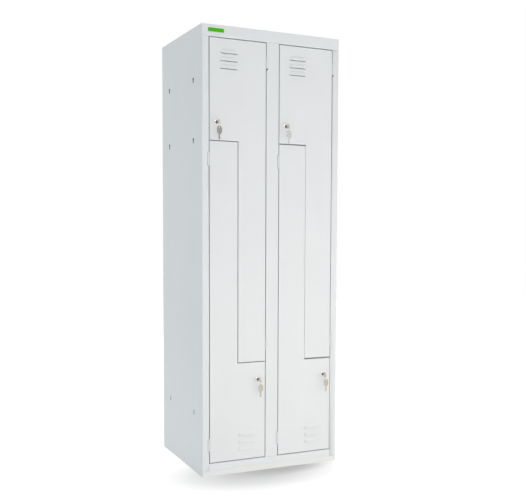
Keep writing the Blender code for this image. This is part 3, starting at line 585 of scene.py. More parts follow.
def makeTree(name, inputs, kinds, wiring):
    # inputs by name, nodes by a short name, and wires as (from, socket, to, socket)
    tree = bpy.data.node_groups.new(name, "GeometryNodeTree")
    for label, kind in {"Geometry": "Geometry", **inputs, "Finish": "Material"}.items():
        tree.interface.new_socket(name=label, in_out="INPUT", socket_type=f"NodeSocket{kind}")
    tree.interface.new_socket(name="Geometry", in_out="OUTPUT", socket_type="NodeSocketGeometry")
    kinds = {
        "given": "NodeGroupInput",
        **kinds,
        "real": "GeometryNodeRealizeInstances",
        "finish": "GeometryNodeSetMaterial",
        "result": "NodeGroupOutput",
    }
    made = {label: tree.nodes.new(kind) for label, kind in kinds.items()}
    ending = [
        ("real", "Geometry", "finish", "Geometry"),
        ("given", "Finish", "finish", "Material"),
        ("finish", "Geometry", "result", "Geometry"),
    ]
    for source, output, target, entry in wiring + ending:
        tree.links.new(made[source].outputs[output], made[target].inputs[entry])
    return tree, made


def growMesh(name, tree, given):
    # runs a tree once with its inputs set and keeps what it makes as a plain mesh
    holder = newObject(name, bpy.data.meshes.new(name))
    grown = holder.modifiers.new("grown", "NODES")
    grown.node_group = tree
    for socket in tree.interface.items_tree:
        if socket.in_out == "INPUT" and socket.name in given:
            grown[socket.identifier] = given[socket.name]
    mesh = settle(holder).data
    discard(holder)
    return mesh


rowTree, rowNodes = makeTree(
    "rowOfPieces",
    {"Piece": "Object", "Count": "Int", "Start": "Vector", "Step": "Vector"},
    {"line": "GeometryNodeMeshLine", "piece": "GeometryNodeObjectInfo",
     "spread": "GeometryNodeInstanceOnPoints"},
    [
        ("given", "Count", "line", "Count"),
        ("given", "Start", "line", "Start Location"),
        ("given", "Step", "line", "Offset"),
        ("given", "Piece", "piece", "Object"),
        ("line", "Mesh", "spread", "Points"),
        ("piece", "Geometry", "spread", "Instance"),
        ("spread", "Instances", "real", "Geometry"),
    ],
)
rowNodes["line"].mode = "OFFSET"


def layRow(name, piece, count, start, step, material):
    # a straight row of copies of one mesh
    pattern = newObject(f"{name}Pattern", piece)
    given = {"Piece": pattern, "Count": count, "Start": tuple(start), "Step": tuple(step), "Finish": material}
    mesh = growMesh(name, rowTree, given)
    discard(pattern)
    return mesh


# Doors: one sheet with its louvres pressed out of it, its walls folded back and a lip round the back

doorSheet = {
    "thickness": 0.0009,
    "depth": 0.018,
    "foldRadius": 0.0015,
    "foldSteps": 5,
    "lip": 0.011,
    "louvreCount": 3,
    "louvrePitch": 0.030,
    "louvreHalf": 0.038,
    "louvreEnd": 0.014,
    "louvreHeight": 0.017,
    "louvreProud": 0.0042,
    "louvreSink": 0.0045,
    "louvreFoot": 0.0006,
    "louvreMargin": 0.0032,
    "louvreSlit": 0.0013,
    "louvreSlitTaper": 3,
    "louvreFlatSteps": 3,
    "louvreCurveSteps": 9,
    "louvreFromMiddle": 0.0385,
    "louvreFromEnd": 0.040,
    "gap": 0.003,
    "stepGap": {"left_upper": 0.003, "left_lower": 0.003, "right_upper": 0.0042, "right_lower": 0.0056},
    "stepShift": 0.0022,  # how much closer to the cabinet's middle the step lines are than in the solids
    "freeLean": {"left": 0.0, "right": 0.0011},
    "stileLean": {"left_upper": 0.0, "left_lower": 0.0, "right_upper": 0.0006, "right_lower": 0.0012},
    "faceSlack": 0.0001,
    "holeRadius": 0.0093,
    "holeSteps": 48,
}


def louvreLift(across, up):
    # how far the sheet is pressed out at a place on a louvre, measured from the middle of its open edge
    proud, sink, foot = doorSheet["louvreProud"], doorSheet["louvreSink"], doorSheet["louvreFoot"]
    spread = 1 / math.sqrt(1 - (sink / (proud + sink)) ** 2)
    straight = doorSheet["louvreHalf"] - doorSheet["louvreEnd"]
    beyond = max(0.0, abs(across) - straight) / (doorSheet["louvreEnd"] * spread)
    rise = max(0.0, up) / (doorSheet["louvreHeight"] * spread)
    inside = 1 - beyond * beyond - rise * rise
    raw = (proud + sink) * math.sqrt(max(0.0, inside)) - sink
    if raw <= -foot:
        return 0.0
    if raw >= foot:
        return raw
    return (raw + foot) ** 2 / (4 * foot)


def louvreLines():
    # where the louvre's grid lines run: across it and up it, closer together where it curves
    half, end, height = doorSheet["louvreHalf"], doorSheet["louvreEnd"], doorSheet["louvreHeight"]
    margin, straight = doorSheet["louvreMargin"], half - end
    flatSteps, curveSteps = doorSheet["louvreFlatSteps"], doorSheet["louvreCurveSteps"]
    curve = [math.sin(math.pi / 2 * step / curveSteps) for step in range(1, curveSteps + 1)]
    outward = [straight * step / flatSteps for step in range(1, flatSteps + 1)]
    outward += [straight + end * share for share in curve]
    outward += [half + margin / 2, half + margin]
    across = [-value for value in reversed(outward)] + [0.0] + outward
    up = [-margin, -margin / 2, 0.0]
    up += [height * share for share in curve]
    up += [height + margin / 2, height + margin]
    return across, up


def makeLouvrePatch():
    # the pressed form with a flat margin round it, open along its lower edge
    across, up = louvreLines()
    bm = bmesh.new()
    rows = []
    for height in up:
        lifts = [louvreLift(x, height) if height >= 0 else 0.0 for x in across]
        rows.append([bm.verts.new((x, -lift, height)) for x, lift in zip(across, lifts)])
    slit = up.index(0.0)
    below = []
    for vert, x in zip(rows[slit], across):
        lift = louvreLift(x, 0.0)
        share = min(1.0, doorSheet["louvreSlitTaper"] * lift / doorSheet["louvreProud"])
        below.append(bm.verts.new((x, 0.0, -doorSheet["louvreSlit"] * share)) if lift > 0 else vert)
    for index in range(len(up) - 1):
        lower = rows[index]
        upper = below if index == slit - 1 else rows[index + 1]
        for column in range(len(across) - 1):
            bm.faces.new((lower[column], lower[column + 1], upper[column + 1], upper[column]))
    return plainMesh(bm, "louvrePatch")


def offsetOutline(outline, inset):
    # moves every side of a closed outline inwards by the same distance
    moved = []
    for index, corner in enumerate(outline):
        before = Vector(outline[index - 1])
        here = Vector(corner)
        after = Vector(outline[(index + 1) % len(outline)])
        first = (here - before).normalized()
        second = (after - here).normalized()
        inward = Vector((-first.y, first.x)) + Vector((-second.y, second.x))
        moved.append(tuple(here + inward * inset))
    return moved


def measureDoor(side, level):
    # a door's sizes in its own frame, which starts at its hinge corner: X across it and Z along it
    low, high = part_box(f"{side}_{level}_door")
    otherLow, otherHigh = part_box(f"{side}_{'lower' if level == 'upper' else 'upper'}_door")
    name = f"{side}_{level}"
    width = high.x - low.x
    step = high.z - otherHigh.z if level == "upper" else otherLow.z - low.z
    stileLean = doorSheet["stileLean"][name]
    firstEdge = doorSheet["louvreFromEnd"] + (doorSheet["louvreHeight"] if level == "upper" else 0)
    louvres = range(doorSheet["louvreCount"])
    return {
        "width": width,
        "strip": (width - doorSheet["gap"]) / 2,
        "height": high.z - low.z - doorSheet["stepShift"],
        "step": step + doorSheet["stepShift"] - doorSheet["stepGap"][name],
        "nearLean": stileLean if level == "upper" else 0.0,
        "farLean": stileLean if level == "lower" else 0.0,
        "freeLean": doorSheet["freeLean"][side],
        "louvreX": width / 2 + doorSheet["louvreFromMiddle"],
        "louvreEdges": [firstEdge + index * doorSheet["louvrePitch"] for index in louvres],
    }


def doorEdges(door, share):
    # the hinge edge, the far edge and the strip's free edge: full lean at the face, none at the lip
    far = door["width"] + door["farLean"] * share
    free = door["strip"] + door["freeLean"] * share
    return -door["nearLean"] * share, far, free


def addDoorFace(bm, door, upward):
    # the flat face as a grid, without the other door's corner and with a window for each louvre
    radius, step, height = doorSheet["foldRadius"], door["step"], door["height"]
    near, far, free = doorEdges(door, 1.0)
    across, up = louvreLines()
    xLines = {near + radius, far - radius, free - radius} | {door["louvreX"] + x for x in across}
    zLines = {radius, height - radius, step - radius}
    zLines |= {edge + upward * value for edge in door["louvreEdges"] for value in up}
    windows = [sorted((edge + upward * up[0], edge + upward * up[-1])) for edge in door["louvreEdges"]]
    left, right = door["louvreX"] + across[0], door["louvreX"] + across[-1]
    xs, zs = sorted(xLines), sorted(zLines)
    grid = {}

    def corner(i, j):
        if (i, j) not in grid:
            grid[i, j] = bm.verts.new((xs[i], 0, zs[j]))
        return grid[i, j]

    for i in range(len(xs) - 1):
        for j in range(len(zs) - 1):
            x, z = (xs[i] + xs[i + 1]) / 2, (zs[j] + zs[j + 1]) / 2
            if x > free - radius and z > step - radius:
                continue
            if left < x < right and any(low < z < high for low, high in windows):
                continue
            bm.faces.new((corner(i, j), corner(i + 1, j), corner(i + 1, j + 1), corner(i, j + 1)))


def foldProfile():
    # how far in and how deep each point of the wall is, from the face round both folds to the lip
    radius, depth, steps = doorSheet["foldRadius"], doorSheet["depth"], doorSheet["foldSteps"]
    turns = [math.pi / 2 * index / steps for index in range(steps + 1)]
    front = [(radius - radius * math.sin(turn), radius - radius * math.cos(turn)) for turn in turns]
    back = [(radius - radius * math.cos(turn), depth - radius + radius * math.sin(turn)) for turn in turns]
    return front + back + [(doorSheet["lip"], depth)]


def addDoorWalls(bm, door):
    # the folds and walls round the door, which lean back to the plain size at the lip
    step, height = door["step"], door["height"]
    loops = []
    for inset, deep in foldProfile():
        near, far, free = doorEdges(door, 1 - deep / doorSheet["depth"])
        corners = [(near, 0), (far, 0), (far, step), (free, step), (free, height), (near, height)]
        loops.append(addLoop(bm, [(x, deep, z) for x, z in offsetOutline(corners, inset)], Matrix()))
    for first, second in zip(loops, loops[1:]):
        joinLoops(bm, first, second)


def turnOutwards(bm):
    # an open sheet has no inside, so its face is what tells which way it looks
    bmesh.ops.recalc_face_normals(bm, faces=bm.faces)
    facing = [part for part in bm.faces if part.calc_center_median().y < frontY + doorSheet["faceSlack"]]
    if sum(part.normal.y * part.calc_area() for part in facing) > 0:
        bmesh.ops.reverse_faces(bm, faces=bm.faces)


def makeDoor(side, level):
    name = f"{side}_{level}_door"
    low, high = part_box(name)
    door = measureDoor(side, level)
    if level == "lower":
        upward, toWorld = 1, Matrix.Translation((low.x, frontY, low.z))
    else:
        upward, toWorld = -1, Matrix.Translation((high.x, frontY, high.z)) @ Matrix.Rotation(math.pi, 4, "Y")
    bm = bmesh.new()
    addDoorFace(bm, door, upward)
    addDoorWalls(bm, door)
    bmesh.ops.transform(bm, verts=bm.verts, matrix=toWorld)
    start = toWorld @ Vector((door["louvreX"], 0, door["louvreEdges"][0]))
    step = (0, 0, upward * doorSheet["louvrePitch"])
    bm.from_mesh(layRow(f"{name}Louvres", louvrePatch, doorSheet["louvreCount"], start, step, doorPaint))
    bmesh.ops.remove_doubles(bm, verts=bm.verts, dist=making["samePlace"])
    turnOutwards(bm)
    panel = newObject(f"{name}Panel", plainMesh(bm, f"{name}Sheet"))
    wall = panel.modifiers.new("wall", "SOLIDIFY")
    wall.thickness = doorSheet["thickness"]
    wall.offset = -1
    wall.use_even_offset = True
    radius, reach = doorSheet["holeRadius"], doorSheet["depth"] / 2
    outline = [(0, -reach), (radius, -reach), (radius, reach), (0, reach)]
    hole = bmesh.new()
    addTurned(hole, outline, doorSheet["holeSteps"], lockPlace(side, level))
    cutAway(panel, solidFrom(hole, f"{name}Hole"))
    dress(panel, doorPaint, name, "door_paint", name)


louvrePatch = makeLouvrePatch()
for side, level in doorPlaces:
    makeDoor(side, level)
print("doors made")


# Hinges: two outer knuckles and the pin on the frame, the middle knuckle on the door

hinge = {
    "radius": 0.004,
    "axisDepth": 0.001,
    "chamfer": 0.0005,
    "slit": 0.0003,
    "pinRadius": 0.0023,
    "pinShow": 0.0006,
    "pinPlay": 0.0002,
    "shortEnd": 0.0040,  # how much sooner an upper door's top hinge ends, which leaves a small notch
    "leafSheet": 0.0012,
    "leafBevel": 0.0004,
    "leafStart": 0.005,
    "leafEnd": {"frame": 0.016, "door": 0.014},
    "leafOuter": {"frame": 0.0005, "door": 0.0045},
    "steps": 40,
}


def addBarrel(bm, place, radius, bottom, top, bore=0):
    # an upright cylinder with eased ends, hollow where it has a bore
    chamfer = hinge["chamfer"]
    corners = [(bore, bottom, 0), (radius, bottom, chamfer), (radius, top, chamfer), (bore, top, 0)]
    turn = addTube if bore else addTurned
    turn(bm, roundedProfile(corners), hinge["steps"], place, "Z")


def addLeaf(bm, part, axis, bottom, top, start, toward):
    outer = axis.x + toward * hinge["leafOuter"][part]
    inner = outer - toward * hinge["leafSheet"]
    low = (min(outer, inner), axis.y + start, axis.z + bottom)
    high = (max(outer, inner), axis.y + hinge["leafEnd"][part], axis.z + top)
    addSlab(bm, low, high, hinge["leafBevel"])


def makeHinge(side, level, end):
    name = f"{side}_{level}_door_{end}_hinge"
    low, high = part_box(f"{name}_frame_leaf")
    middle = (low + high) / 2
    axis = Vector((middle.x, frontY + hinge["axisDepth"], middle.z))
    toward = 1 if level == "lower" else -1
    half = (high.z - low.z) / 2
    third, show = half / 3, hinge["pinShow"]
    foot = -half + (hinge["shortEnd"] if (level, end) == ("upper", "top") else 0)
    spans = {"frame": ((foot + show, -third), (third, half - show)), "door": ((-third, third),)}
    bores = {"frame": 0, "door": hinge["pinRadius"] + hinge["pinPlay"]}
    bodies = {"frame": "cabinet", "door": f"{side}_{level}_door"}
    for part in ("frame", "door"):
        bm = bmesh.new()
        for bottom, top in spans[part]:
            bottom += hinge["slit"] / 2
            top -= hinge["slit"] / 2
            addBarrel(bm, axis, hinge["radius"], bottom, top, bores[part])
            addLeaf(bm, part, axis, bottom, top, 0.0, toward)
        addLeaf(bm, part, axis, foot, half, hinge["leafStart"], toward)
        if part == "frame":
            addBarrel(bm, axis, hinge["pinRadius"], foot, half)
        leaf = solidFrom(bm, f"{name}_{part}Leaf")
        dress(leaf, bodyPaint, bodies[part], "body_paint", f"{name}_{part}_leaf")


for side, level in doorPlaces:
    for end in ("top", "bottom"):
        makeHinge(side, level, end)
print("hinges made")


# Locks: a rim and threaded barrel held by a hexagon nut, a turning plug with its keyway, and the cam

lock = {
    "rimRadius": 0.011,
    "rimProud": 0.0025,
    "rimCone": 0.0021,
    "rimEdge": 0.0009,
    "edge": 0.0003,
    "fineEdge": 0.0001,
    "dishRadius": 0.0084,
    "dishDepth": 0.0005,
    "seat": 0.0003,
    "barrelRadius": 0.009,
    "barrelEnd": 0.020,
    "threadPitch": 0.0010,
    "threadDepth": 0.00035,
    "boreRadius": 0.0063,
    "nutSides": 6,
    "nutRadius": 0.0125,
    "nutStart": 0.0012,
    "nutThickness": 0.004,
    "nutChamfer": 0.0006,
    "plugRadius": 0.006,
    "plugProud": 0.0020,
    "plugRound": 0.0004,
    "plugEnd": 0.0215,
    "camStart": 0.0222,
    "camSheet": 0.0018,
    "camReach": 0.029,
    "camHub": 0.007,
    "camTip": 0.005,
    "camHubPoints": 25,
    "camTipPoints": 19,
    "boltRadius": 0.004,
    "boltHead": 0.0015,
    "boltRound": 0.0005,
    "boltPoints": 24,
    "keywayWidth": 0.0024,
    "keywayHeight": 0.0082,
    "keywayEnd": 0.0188,
    "steps": 72,
}


def addNut(bm, place):
    # a hexagon with its corners cut back to a cone on both faces, and a hole for the barrel
    start, radius, cut = lock["nutStart"], lock["nutRadius"], lock["nutChamfer"]
    finish = start + lock["nutThickness"]
    sector = 2 * math.pi / lock["nutSides"]
    flat = radius * math.cos(sector / 2)
    angles = [2 * math.pi * step / lock["steps"] for step in range(lock["steps"])]
    hexagon = [flat / math.cos((angle + sector / 2) % sector - sector / 2) for angle in angles]
    levels = ((start, flat), (start + cut, radius), (finish - cut, radius), (finish, flat))
    rings = [(along, [min(limit, reach) for reach in hexagon]) for along, limit in levels]
    rings += [(along, [lock["barrelRadius"]] * len(angles)) for along in (finish, start)]
    loops = []
    for along, reaches in rings:
        points = [(reach * math.cos(angle), along, reach * math.sin(angle))
                  for angle, reach in zip(angles, reaches)]
        loops.append(addLoop(bm, points, Matrix.Translation(place)))
    for index, second in enumerate(loops):
        joinLoops(bm, loops[index - 1], second)


def makeHousing(side, level):
    name = f"{side}_{level}_lock_housing"
    place = lockPlace(side, level)
    bore, rim, barrel = lock["boreRadius"], lock["rimRadius"], lock["barrelRadius"]
    front, seat, edge, fine = -lock["rimProud"], -lock["seat"], lock["edge"], lock["fineEdge"]
    dish, pitch, end = front + lock["dishDepth"], lock["threadPitch"], lock["barrelEnd"]
    thread = lock["nutStart"] + lock["nutThickness"]
    corners = [
        (bore, dish, fine),
        (lock["dishRadius"] - lock["dishDepth"], dish, fine),
        (lock["dishRadius"], front, fine),
        (rim - lock["rimCone"], front, fine),
        (rim, -lock["rimEdge"], edge),
        (rim, seat, fine),
        (barrel, seat, 0),
        (barrel, thread, 0),
    ]
    for index in range(int((end - thread) / pitch) - 1):
        along = thread + index * pitch
        corners += [(barrel - lock["threadDepth"], along + pitch / 2, 0), (barrel, along + pitch, 0)]
    corners += [(barrel, end, edge), (bore, end, fine)]
    bm = bmesh.new()
    addTube(bm, roundedProfile(corners), lock["steps"], place)
    addNut(bm, place)
    dress(solidFrom(bm, f"{name}Body"), metals["chrome"], f"{side}_{level}_door", "chrome", name)


def camOutline():
    # a link with a round hub and a smaller round tip, pointing along X
    length = lock["camReach"] - lock["camTip"]
    lean = math.asin((lock["camHub"] - lock["camTip"]) / length)
    square = math.pi / 2
    hub = arc((0, 0), lock["camHub"], square - lean, 3 * square + lean, lock["camHubPoints"])
    tip = arc((length, 0), lock["camTip"], lean - square, square - lean, lock["camTipPoints"])
    return hub + tip


def makePlug(side, level):
    # the turning core with its keyway, and the cam on its end
    name = f"{side}_{level}_lock_plug"
    place = lockPlace(side, level)
    front, radius, bolt, end = -lock["plugProud"], lock["plugRadius"], lock["boltRadius"], lock["plugEnd"]
    boltEnd = lock["camStart"] + lock["camSheet"] + lock["boltHead"]
    corners = [
        (0, front, 0),
        (radius, front, lock["plugRound"]),
        (radius, end, lock["edge"]),
        (bolt, end, 0),
        (bolt, boltEnd, lock["boltRound"]),
        (0, boltEnd, 0),
    ]
    core = bmesh.new()
    addTurned(core, roundedProfile(corners), lock["steps"], place)
    plug = solidFrom(core, f"{name}Body")
    half = Vector((lock["keywayWidth"] / 2, 0, lock["keywayHeight"] / 2))
    keywayLow = place + Vector((0, 2 * front, 0)) - half
    keywayHigh = place + Vector((0, lock["keywayEnd"], 0)) + half
    keyway = bmesh.new()
    addSlab(keyway, keywayLow, keywayHigh, lock["edge"])
    cutAway(plug, solidFrom(keyway, f"{name}Keyway"))
    upward = 1 if level == "lower" else -1
    camMiddle = place + Vector((0, lock["camStart"] + lock["camSheet"] / 2, 0))
    camPlace = laidAlong((0, 0, upward), (upward, 0, 0), (0, 1, 0), camMiddle)
    whole = bmesh.new()
    whole.from_mesh(plug.data)
    addPlate(whole, camOutline(), [circle((0, 0), bolt, lock["boltPoints"])], lock["camSheet"], lock["edge"],
             camPlace)
    plug.data = meshOf(whole, f"{name}Body")
    dress(plug, metals["plugChromePaintedShade"], f"{side}_{level}_lock", "chrome", name)


# Keys: cut from flat stock, with a stamped groove along the blade and a rounded bow with its hole

keyCut = {
    "sheet": 0.0018,
    "bladeWidth": 0.0074,
    "bladeLength": 0.0225,
    "tip": 0.003,
    "tipBlunt": (0.0004, 0.0006),
    "cutDepths": (0.30, 0.12, 0.34, 0.20),
    "cutFloor": (0.42, 0.58),  # where a cut's flat floor starts and ends, as shares of its pitch
    "bowLength": 0.031,
    "bowWidth": 0.021,
    "bowSquareness": 2.7,
    "bowPoints": 48,
    "holeRadius": 0.0028,
    "holeInset": 0.0058,
    "holePoints": 28,
    "grooveWidth": 0.0012,
    "grooveDepth": 0.0004,
    "grooveDrop": 0.0012,
    "edge": 0.0003,
    "standoff": 0.004,
    # each spare key's tone by place is painted shade or painted light
    "spareKeyShading": {"left_upper": "darkNickel", "right_upper": "paleNickel",
                    "left_lower": "shadeDimmedNickel", "right_lower": "shadeDimmedNickel"},
}


def bladeOutline():
    # from the shoulder's lower side to the tip and back along the cuts
    half, length, tip = keyCut["bladeWidth"] / 2, keyCut["bladeLength"], keyCut["tip"]
    back, blunt = keyCut["tipBlunt"]
    points = [(tip - length, -half), (back - length, -blunt), (-length, 0), (back - length, blunt),
              (tip - length, half)]
    pitch = (length - 2 * tip) / len(keyCut["cutDepths"])
    for index, share in enumerate(keyCut["cutDepths"]):
        start = tip - length + index * pitch
        deep = half - share * keyCut["bladeWidth"]
        points += [(start + pitch * floor, deep) for floor in keyCut["cutFloor"]]
        points.append((start + pitch, half))
    return points


def bowOutline():
    # a rounded square, open towards the blade
    power, count = 2 / keyCut["bowSquareness"], keyCut["bowPoints"]
    middle = keyCut["bowLength"] / 2
    opening = math.asin((keyCut["bladeWidth"] / keyCut["bowWidth"]) ** (1 / power))
    points = []
    for index in range(count):
        angle = math.pi - opening - 2 * (math.pi - opening) * index / (count - 1)
        across, along = math.sin(angle), math.cos(angle)
        across = math.copysign(abs(across) ** power, across)
        along = math.copysign(abs(along) ** power, along)
        points.append((middle + middle * along, keyCut["bowWidth"] / 2 * across))
    return points


def makeKeyMesh():
    # the blade runs to -X from the shoulder at 0, the bow to +X
    hole = circle((keyCut["bowLength"] - keyCut["holeInset"], 0), keyCut["holeRadius"], keyCut["holePoints"])
    flat = bmesh.new()
    addPlate(flat, bladeOutline() + bowOutline(), [hole], keyCut["sheet"], keyCut["edge"], Matrix())
    blank = solidFrom(flat, "keyBlank")
    width, deep, drop = keyCut["grooveWidth"] / 2, keyCut["grooveDepth"], keyCut["grooveDrop"]
    start, end = -keyCut["bladeLength"] - keyCut["tip"], -keyCut["tip"] / 2
    grooves = bmesh.new()
    for skin in (-keyCut["sheet"] / 2, keyCut["sheet"] / 2):
        addSlab(grooves, (start, -drop - width, skin - deep), (end, -drop + width, skin + deep), deep / 3)
    cutAway(blank, solidFrom(grooves, "keyGrooves"))
    mesh = blank.data
    discard(blank)
    return mesh


# finish names the key's metal; for a spare key it carries painted shade or painted light
def makeKey(name, body, placing, finish):
    bm = bmesh.new()
    bm.from_mesh(keyMesh)
    bmesh.ops.transform(bm, verts=bm.verts, matrix=placing)
    return dress(solidFrom(bm, f"{name}Cut"), metals[finish], body, "nickel", name)


def makeLockKey(side, level):
    shoulder = lockPlace(side, level) - Vector((0, keyCut["standoff"], 0))
    placing = laidAlong((0, -1, 0), (0, 0, 1), (-1, 0, 0), shoulder)
    makeKey(f"{side}_{level}_key", f"{side}_{level}_lock", placing, "nickel")


def makeSpareKey(side, level):
    # hangs with its bow up; the studio light leaves no shadow under it
    name = f"{side}_{level}_spare_key"
    low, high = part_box(name)
    shoulder = (lockPlace(side, level).x, (low.y + high.y) / 2, high.z - keyCut["bowLength"])
    placing = laidAlong((0, 0, 1), (1, 0, 0), (0, 1, 0), shoulder)
    spare = makeKey(name, name, placing, keyCut["spareKeyShading"][f"{side}_{level}"])
    spare.visible_shadow = False


# Key rings: spring wire in two flat turns, drawn along a spiral by Geometry Nodes

keyRing = {
    "radius": 0.0104,
    "wireThickness": 0.0006,
    "turns": 1.9,
    "steps": 160,
    "wireSteps": 12,
    "turned": math.radians(45),
}

ringTree, ringNodes = makeTree(
    "splitRing",
    {"Radius": "Float", "Wire": "Float", "Turns": "Float", "Height": "Float", "Steps": "Int", "Sides": "Int"},
    {"path": "GeometryNodeCurveSpiral", "section": "GeometryNodeCurvePrimitiveCircle",
     "sweep": "GeometryNodeCurveToMesh"},
    [
        ("given", "Steps", "path", "Resolution"),
        ("given", "Turns", "path", "Rotations"),
        ("given", "Radius", "path", "Start Radius"),
        ("given", "Radius", "path", "End Radius"),
        ("given", "Height", "path", "Height"),
        ("given", "Sides", "section", "Resolution"),
        ("given", "Wire", "section", "Radius"),
        ("path", "Curve", "sweep", "Curve"),
        ("section", "Curve", "sweep", "Profile Curve"),
        ("sweep", "Mesh", "real", "Geometry"),
    ],
)
ringNodes["sweep"].inputs["Fill Caps"].default_value = True


def makeRing(side, level):
    name = f"{side}_{level}_key_ring"
    low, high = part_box(name)
    wire = keyRing["wireThickness"] / 2
    given = {
        "Radius": keyRing["radius"],
        "Wire": wire,
        "Turns": keyRing["turns"],
        "Height": keyRing["wireThickness"],
        "Steps": keyRing["steps"],
        "Sides": keyRing["wireSteps"],
        "Finish": metals["brightZinc"],
    }
    mesh = growMesh(f"{name}Wire", ringTree, given)
    turn = Matrix.Rotation(keyRing["turned"], 4, "Z") @ Matrix.Rotation(math.pi / 2, 4, "X")
    mesh.transform(Matrix.Translation((low + high) / 2) @ turn @ Matrix.Translation((0, 0, -wire)))
    dress(newObject(f"{name}Wire", mesh), metals["brightZinc"], f"{side}_{level}_lock", "zinc", name)


keyMesh = makeKeyMesh()
for side, level in doorPlaces:
    makeHousing(side, level)
    makePlug(side, level)
    makeLockKey(side, level)
    makeRing(side, level)
    makeSpareKey(side, level)
print("locks and keys made")


# Coat rails: a tube between two pressed cups

coatRail = {
    "radius": 0.0075,
    "cupRadius": 0.0125,
    "cupDepth": 0.004,
    "cupEdge": 0.0002,
    "cupWall": 0.4,  # where the cup's wall ends and its shoulder starts, as shares of its depth
    "cupShoulder": 0.55,
    "collar": 0.0009,
    "collarFlare": 0.001,
    "ease": 0.0003,
    "steps": 56,
}


def makeCoatRail(side, level):
    name = f"{side}_{level}_coat_rail"
    low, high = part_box(name)
    middle = (low + high) / 2
    length = high.x - low.x
    cup, tube, deep = coatRail["cupRadius"], coatRail["radius"], coatRail["cupDepth"]
    collar, ease = tube + coatRail["collar"], coatRail["ease"]
    oneEnd = [
        (0, 0, 0),
        (cup, 0, coatRail["cupEdge"]),
        (cup, deep * coatRail["cupWall"], ease),
        (collar + coatRail["collarFlare"], deep * coatRail["cupShoulder"], ease),
        (collar, deep, ease),
        (tube, deep, 0),
    ]
    otherEnd = [(radius, length - along, rounding) for radius, along, rounding in reversed(oneEnd)]
    bm = bmesh.new()
    place = (low.x, middle.y, middle.z)
    addTurned(bm, roundedProfile(oneEnd + otherEnd), coatRail["steps"], place, "X")
    dress(solidFrom(bm, f"{name}Tube"), brushedZinc, "cabinet", "zinc", name)


for side, level in doorPlaces:
    makeCoatRail(side, level)
print("coat rails made")


# Side panels with their shelf slots, and black plates sunk in the slots as painted shade

slotShadePlate = {
    "height": 0.0204,
    "stemWidth": {"upper": 0.0095, "lower": 0.0066},
    "headWidth": {"upper": 0.0150, "lower": 0.0066},
    "headHeight": 0.0075,
    "corner": 0.0015,
    "play": 0.0002,
    "sheet": 0.0005,
    "sunk": 0.0002,
    "edge": 0.0001,
    "inset": 0.110,
    "perRow": 2,
    "rise": 0.003,
    "partitionFlange": 0.020,
    "cutDepth": 0.004,
}


def slotOutline(kind, play):
    # a hook slot: a wide head over a narrower stem, both with rounded corners
    half = slotShadePlate["height"] / 2 - play
    stem = slotShadePlate["stemWidth"][kind] / 2 - play
    head = slotShadePlate["headWidth"][kind] / 2 - play
    corner = slotShadePlate["corner"]
    neck = half - slotShadePlate["headHeight"]
    hooked = head - stem > corner
    points = cornerArc(head - corner, half - corner, corner, 0)
    points += cornerArc(corner - head, half - corner, corner, 90)
    if hooked:
        points += [(-head, neck + corner / 2), (-head + corner / 2, neck), (-stem, neck - corner / 2)]
    points += cornerArc(corner - stem, corner - half, corner, 180)
    points += cornerArc(stem - corner, corner - half, corner, 270)
    if hooked:
        points += [(stem, neck - corner / 2), (head - corner / 2, neck), (head, neck + corner / 2)]
    return points


def slotRows(side):
    # the height of each pair of slots and which kind they are
    low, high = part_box(f"{side}_z_partition")
    flange, rise = slotShadePlate["partitionFlange"], slotShadePlate["rise"]
    split = high.z - flange if side == "left" else low.z + flange
    return (
        (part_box(f"{side}_hat_shelf")[1].z + rise, "upper"),
        (split + rise, "upper"),
        (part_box(f"{side}_shoe_shelf")[1].z + rise, "lower"),
    )


def makeSlotPairs(side, play, thickness, edge, sunk):
    # plates in the shape of the slots, a row of them at each shelf, this far in from the panel's outside
    low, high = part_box(f"{side}_side_panel")
    x = low.x + sunk if side == "left" else high.x - sunk
    upright = laidAlong((0, 1, 0), (0, 0, 1), (1, 0, 0))
    apart = (high.y - low.y - 2 * slotShadePlate["inset"]) / (slotShadePlate["perRow"] - 1)
    bm = bmesh.new()
    for height, kind in slotRows(side):
        single = bmesh.new()
        addPlate(single, slotOutline(kind, play), [], thickness, edge, upright)
        plate = meshOf(single, f"{side}Slot")
        start = (x, low.y + slotShadePlate["inset"], height)
        row = layRow(f"{side}SlotRow", plate, slotShadePlate["perRow"], start, (0, apart, 0), metals["paintedSlotShadeBlack"])
        bm.from_mesh(row)
    return bm


def makeSidePanel(side):
    name = f"{side}_side_panel"
    bm = bmesh.new()
    bm.from_mesh(nodes[name].data)
    bmesh.ops.remove_doubles(bm, verts=bm.verts, dist=making["samePlace"])
    panel = solidFrom(bm, f"{name}Sheet")
    cutAway(panel, solidFrom(makeSlotPairs(side, 0.0, slotShadePlate["cutDepth"], 0.0, 0.0), f"{side}SlotCut"))
    dress(panel, bodyPaint, "cabinet", "body_paint", name)


# black plates in the slots: painted shade for the dark inside of each slot
def makeSlotShadePlates(side):
    sunk = slotShadePlate["sunk"] + slotShadePlate["sheet"] / 2
    bm = makeSlotPairs(side, slotShadePlate["play"], slotShadePlate["sheet"], slotShadePlate["edge"], sunk)
    dress(solidFrom(bm, f"{side}_slot_clips"), metals["paintedSlotShadeBlack"], "cabinet", "zinc")


for side in ("left", "right"):
    makeSidePanel(side)
    makeSlotShadePlates(side)
print("side panels and slot shade plates made")


# Rivets: domed heads on the back panel, into the centre partition and the back edges of the shelves

rivet = {
    "radius": 0.0040,
    "height": 0.0011,
    "steps": 24,
    "domeSteps": 5,
    "columnCount": 8,
    "columnMargin": 0.060,
    "rowCount": 3,
    "rowMargin": 0.050,
    "drop": 0.0075,
}


def makeRivetHead():
    # a low dome that looks out of the back
    turns = [math.pi / 2 * step / rivet["domeSteps"] for step in range(rivet["domeSteps"])]
    dome = [(rivet["radius"] * math.cos(turn), rivet["height"] * math.sin(turn)) for turn in turns]
    bm = bmesh.new()
    addTurned(bm, [(0, 0), *dome, (0, rivet["height"])], rivet["steps"], (0, 0, 0))
    return meshOf(bm, "rivetHead")


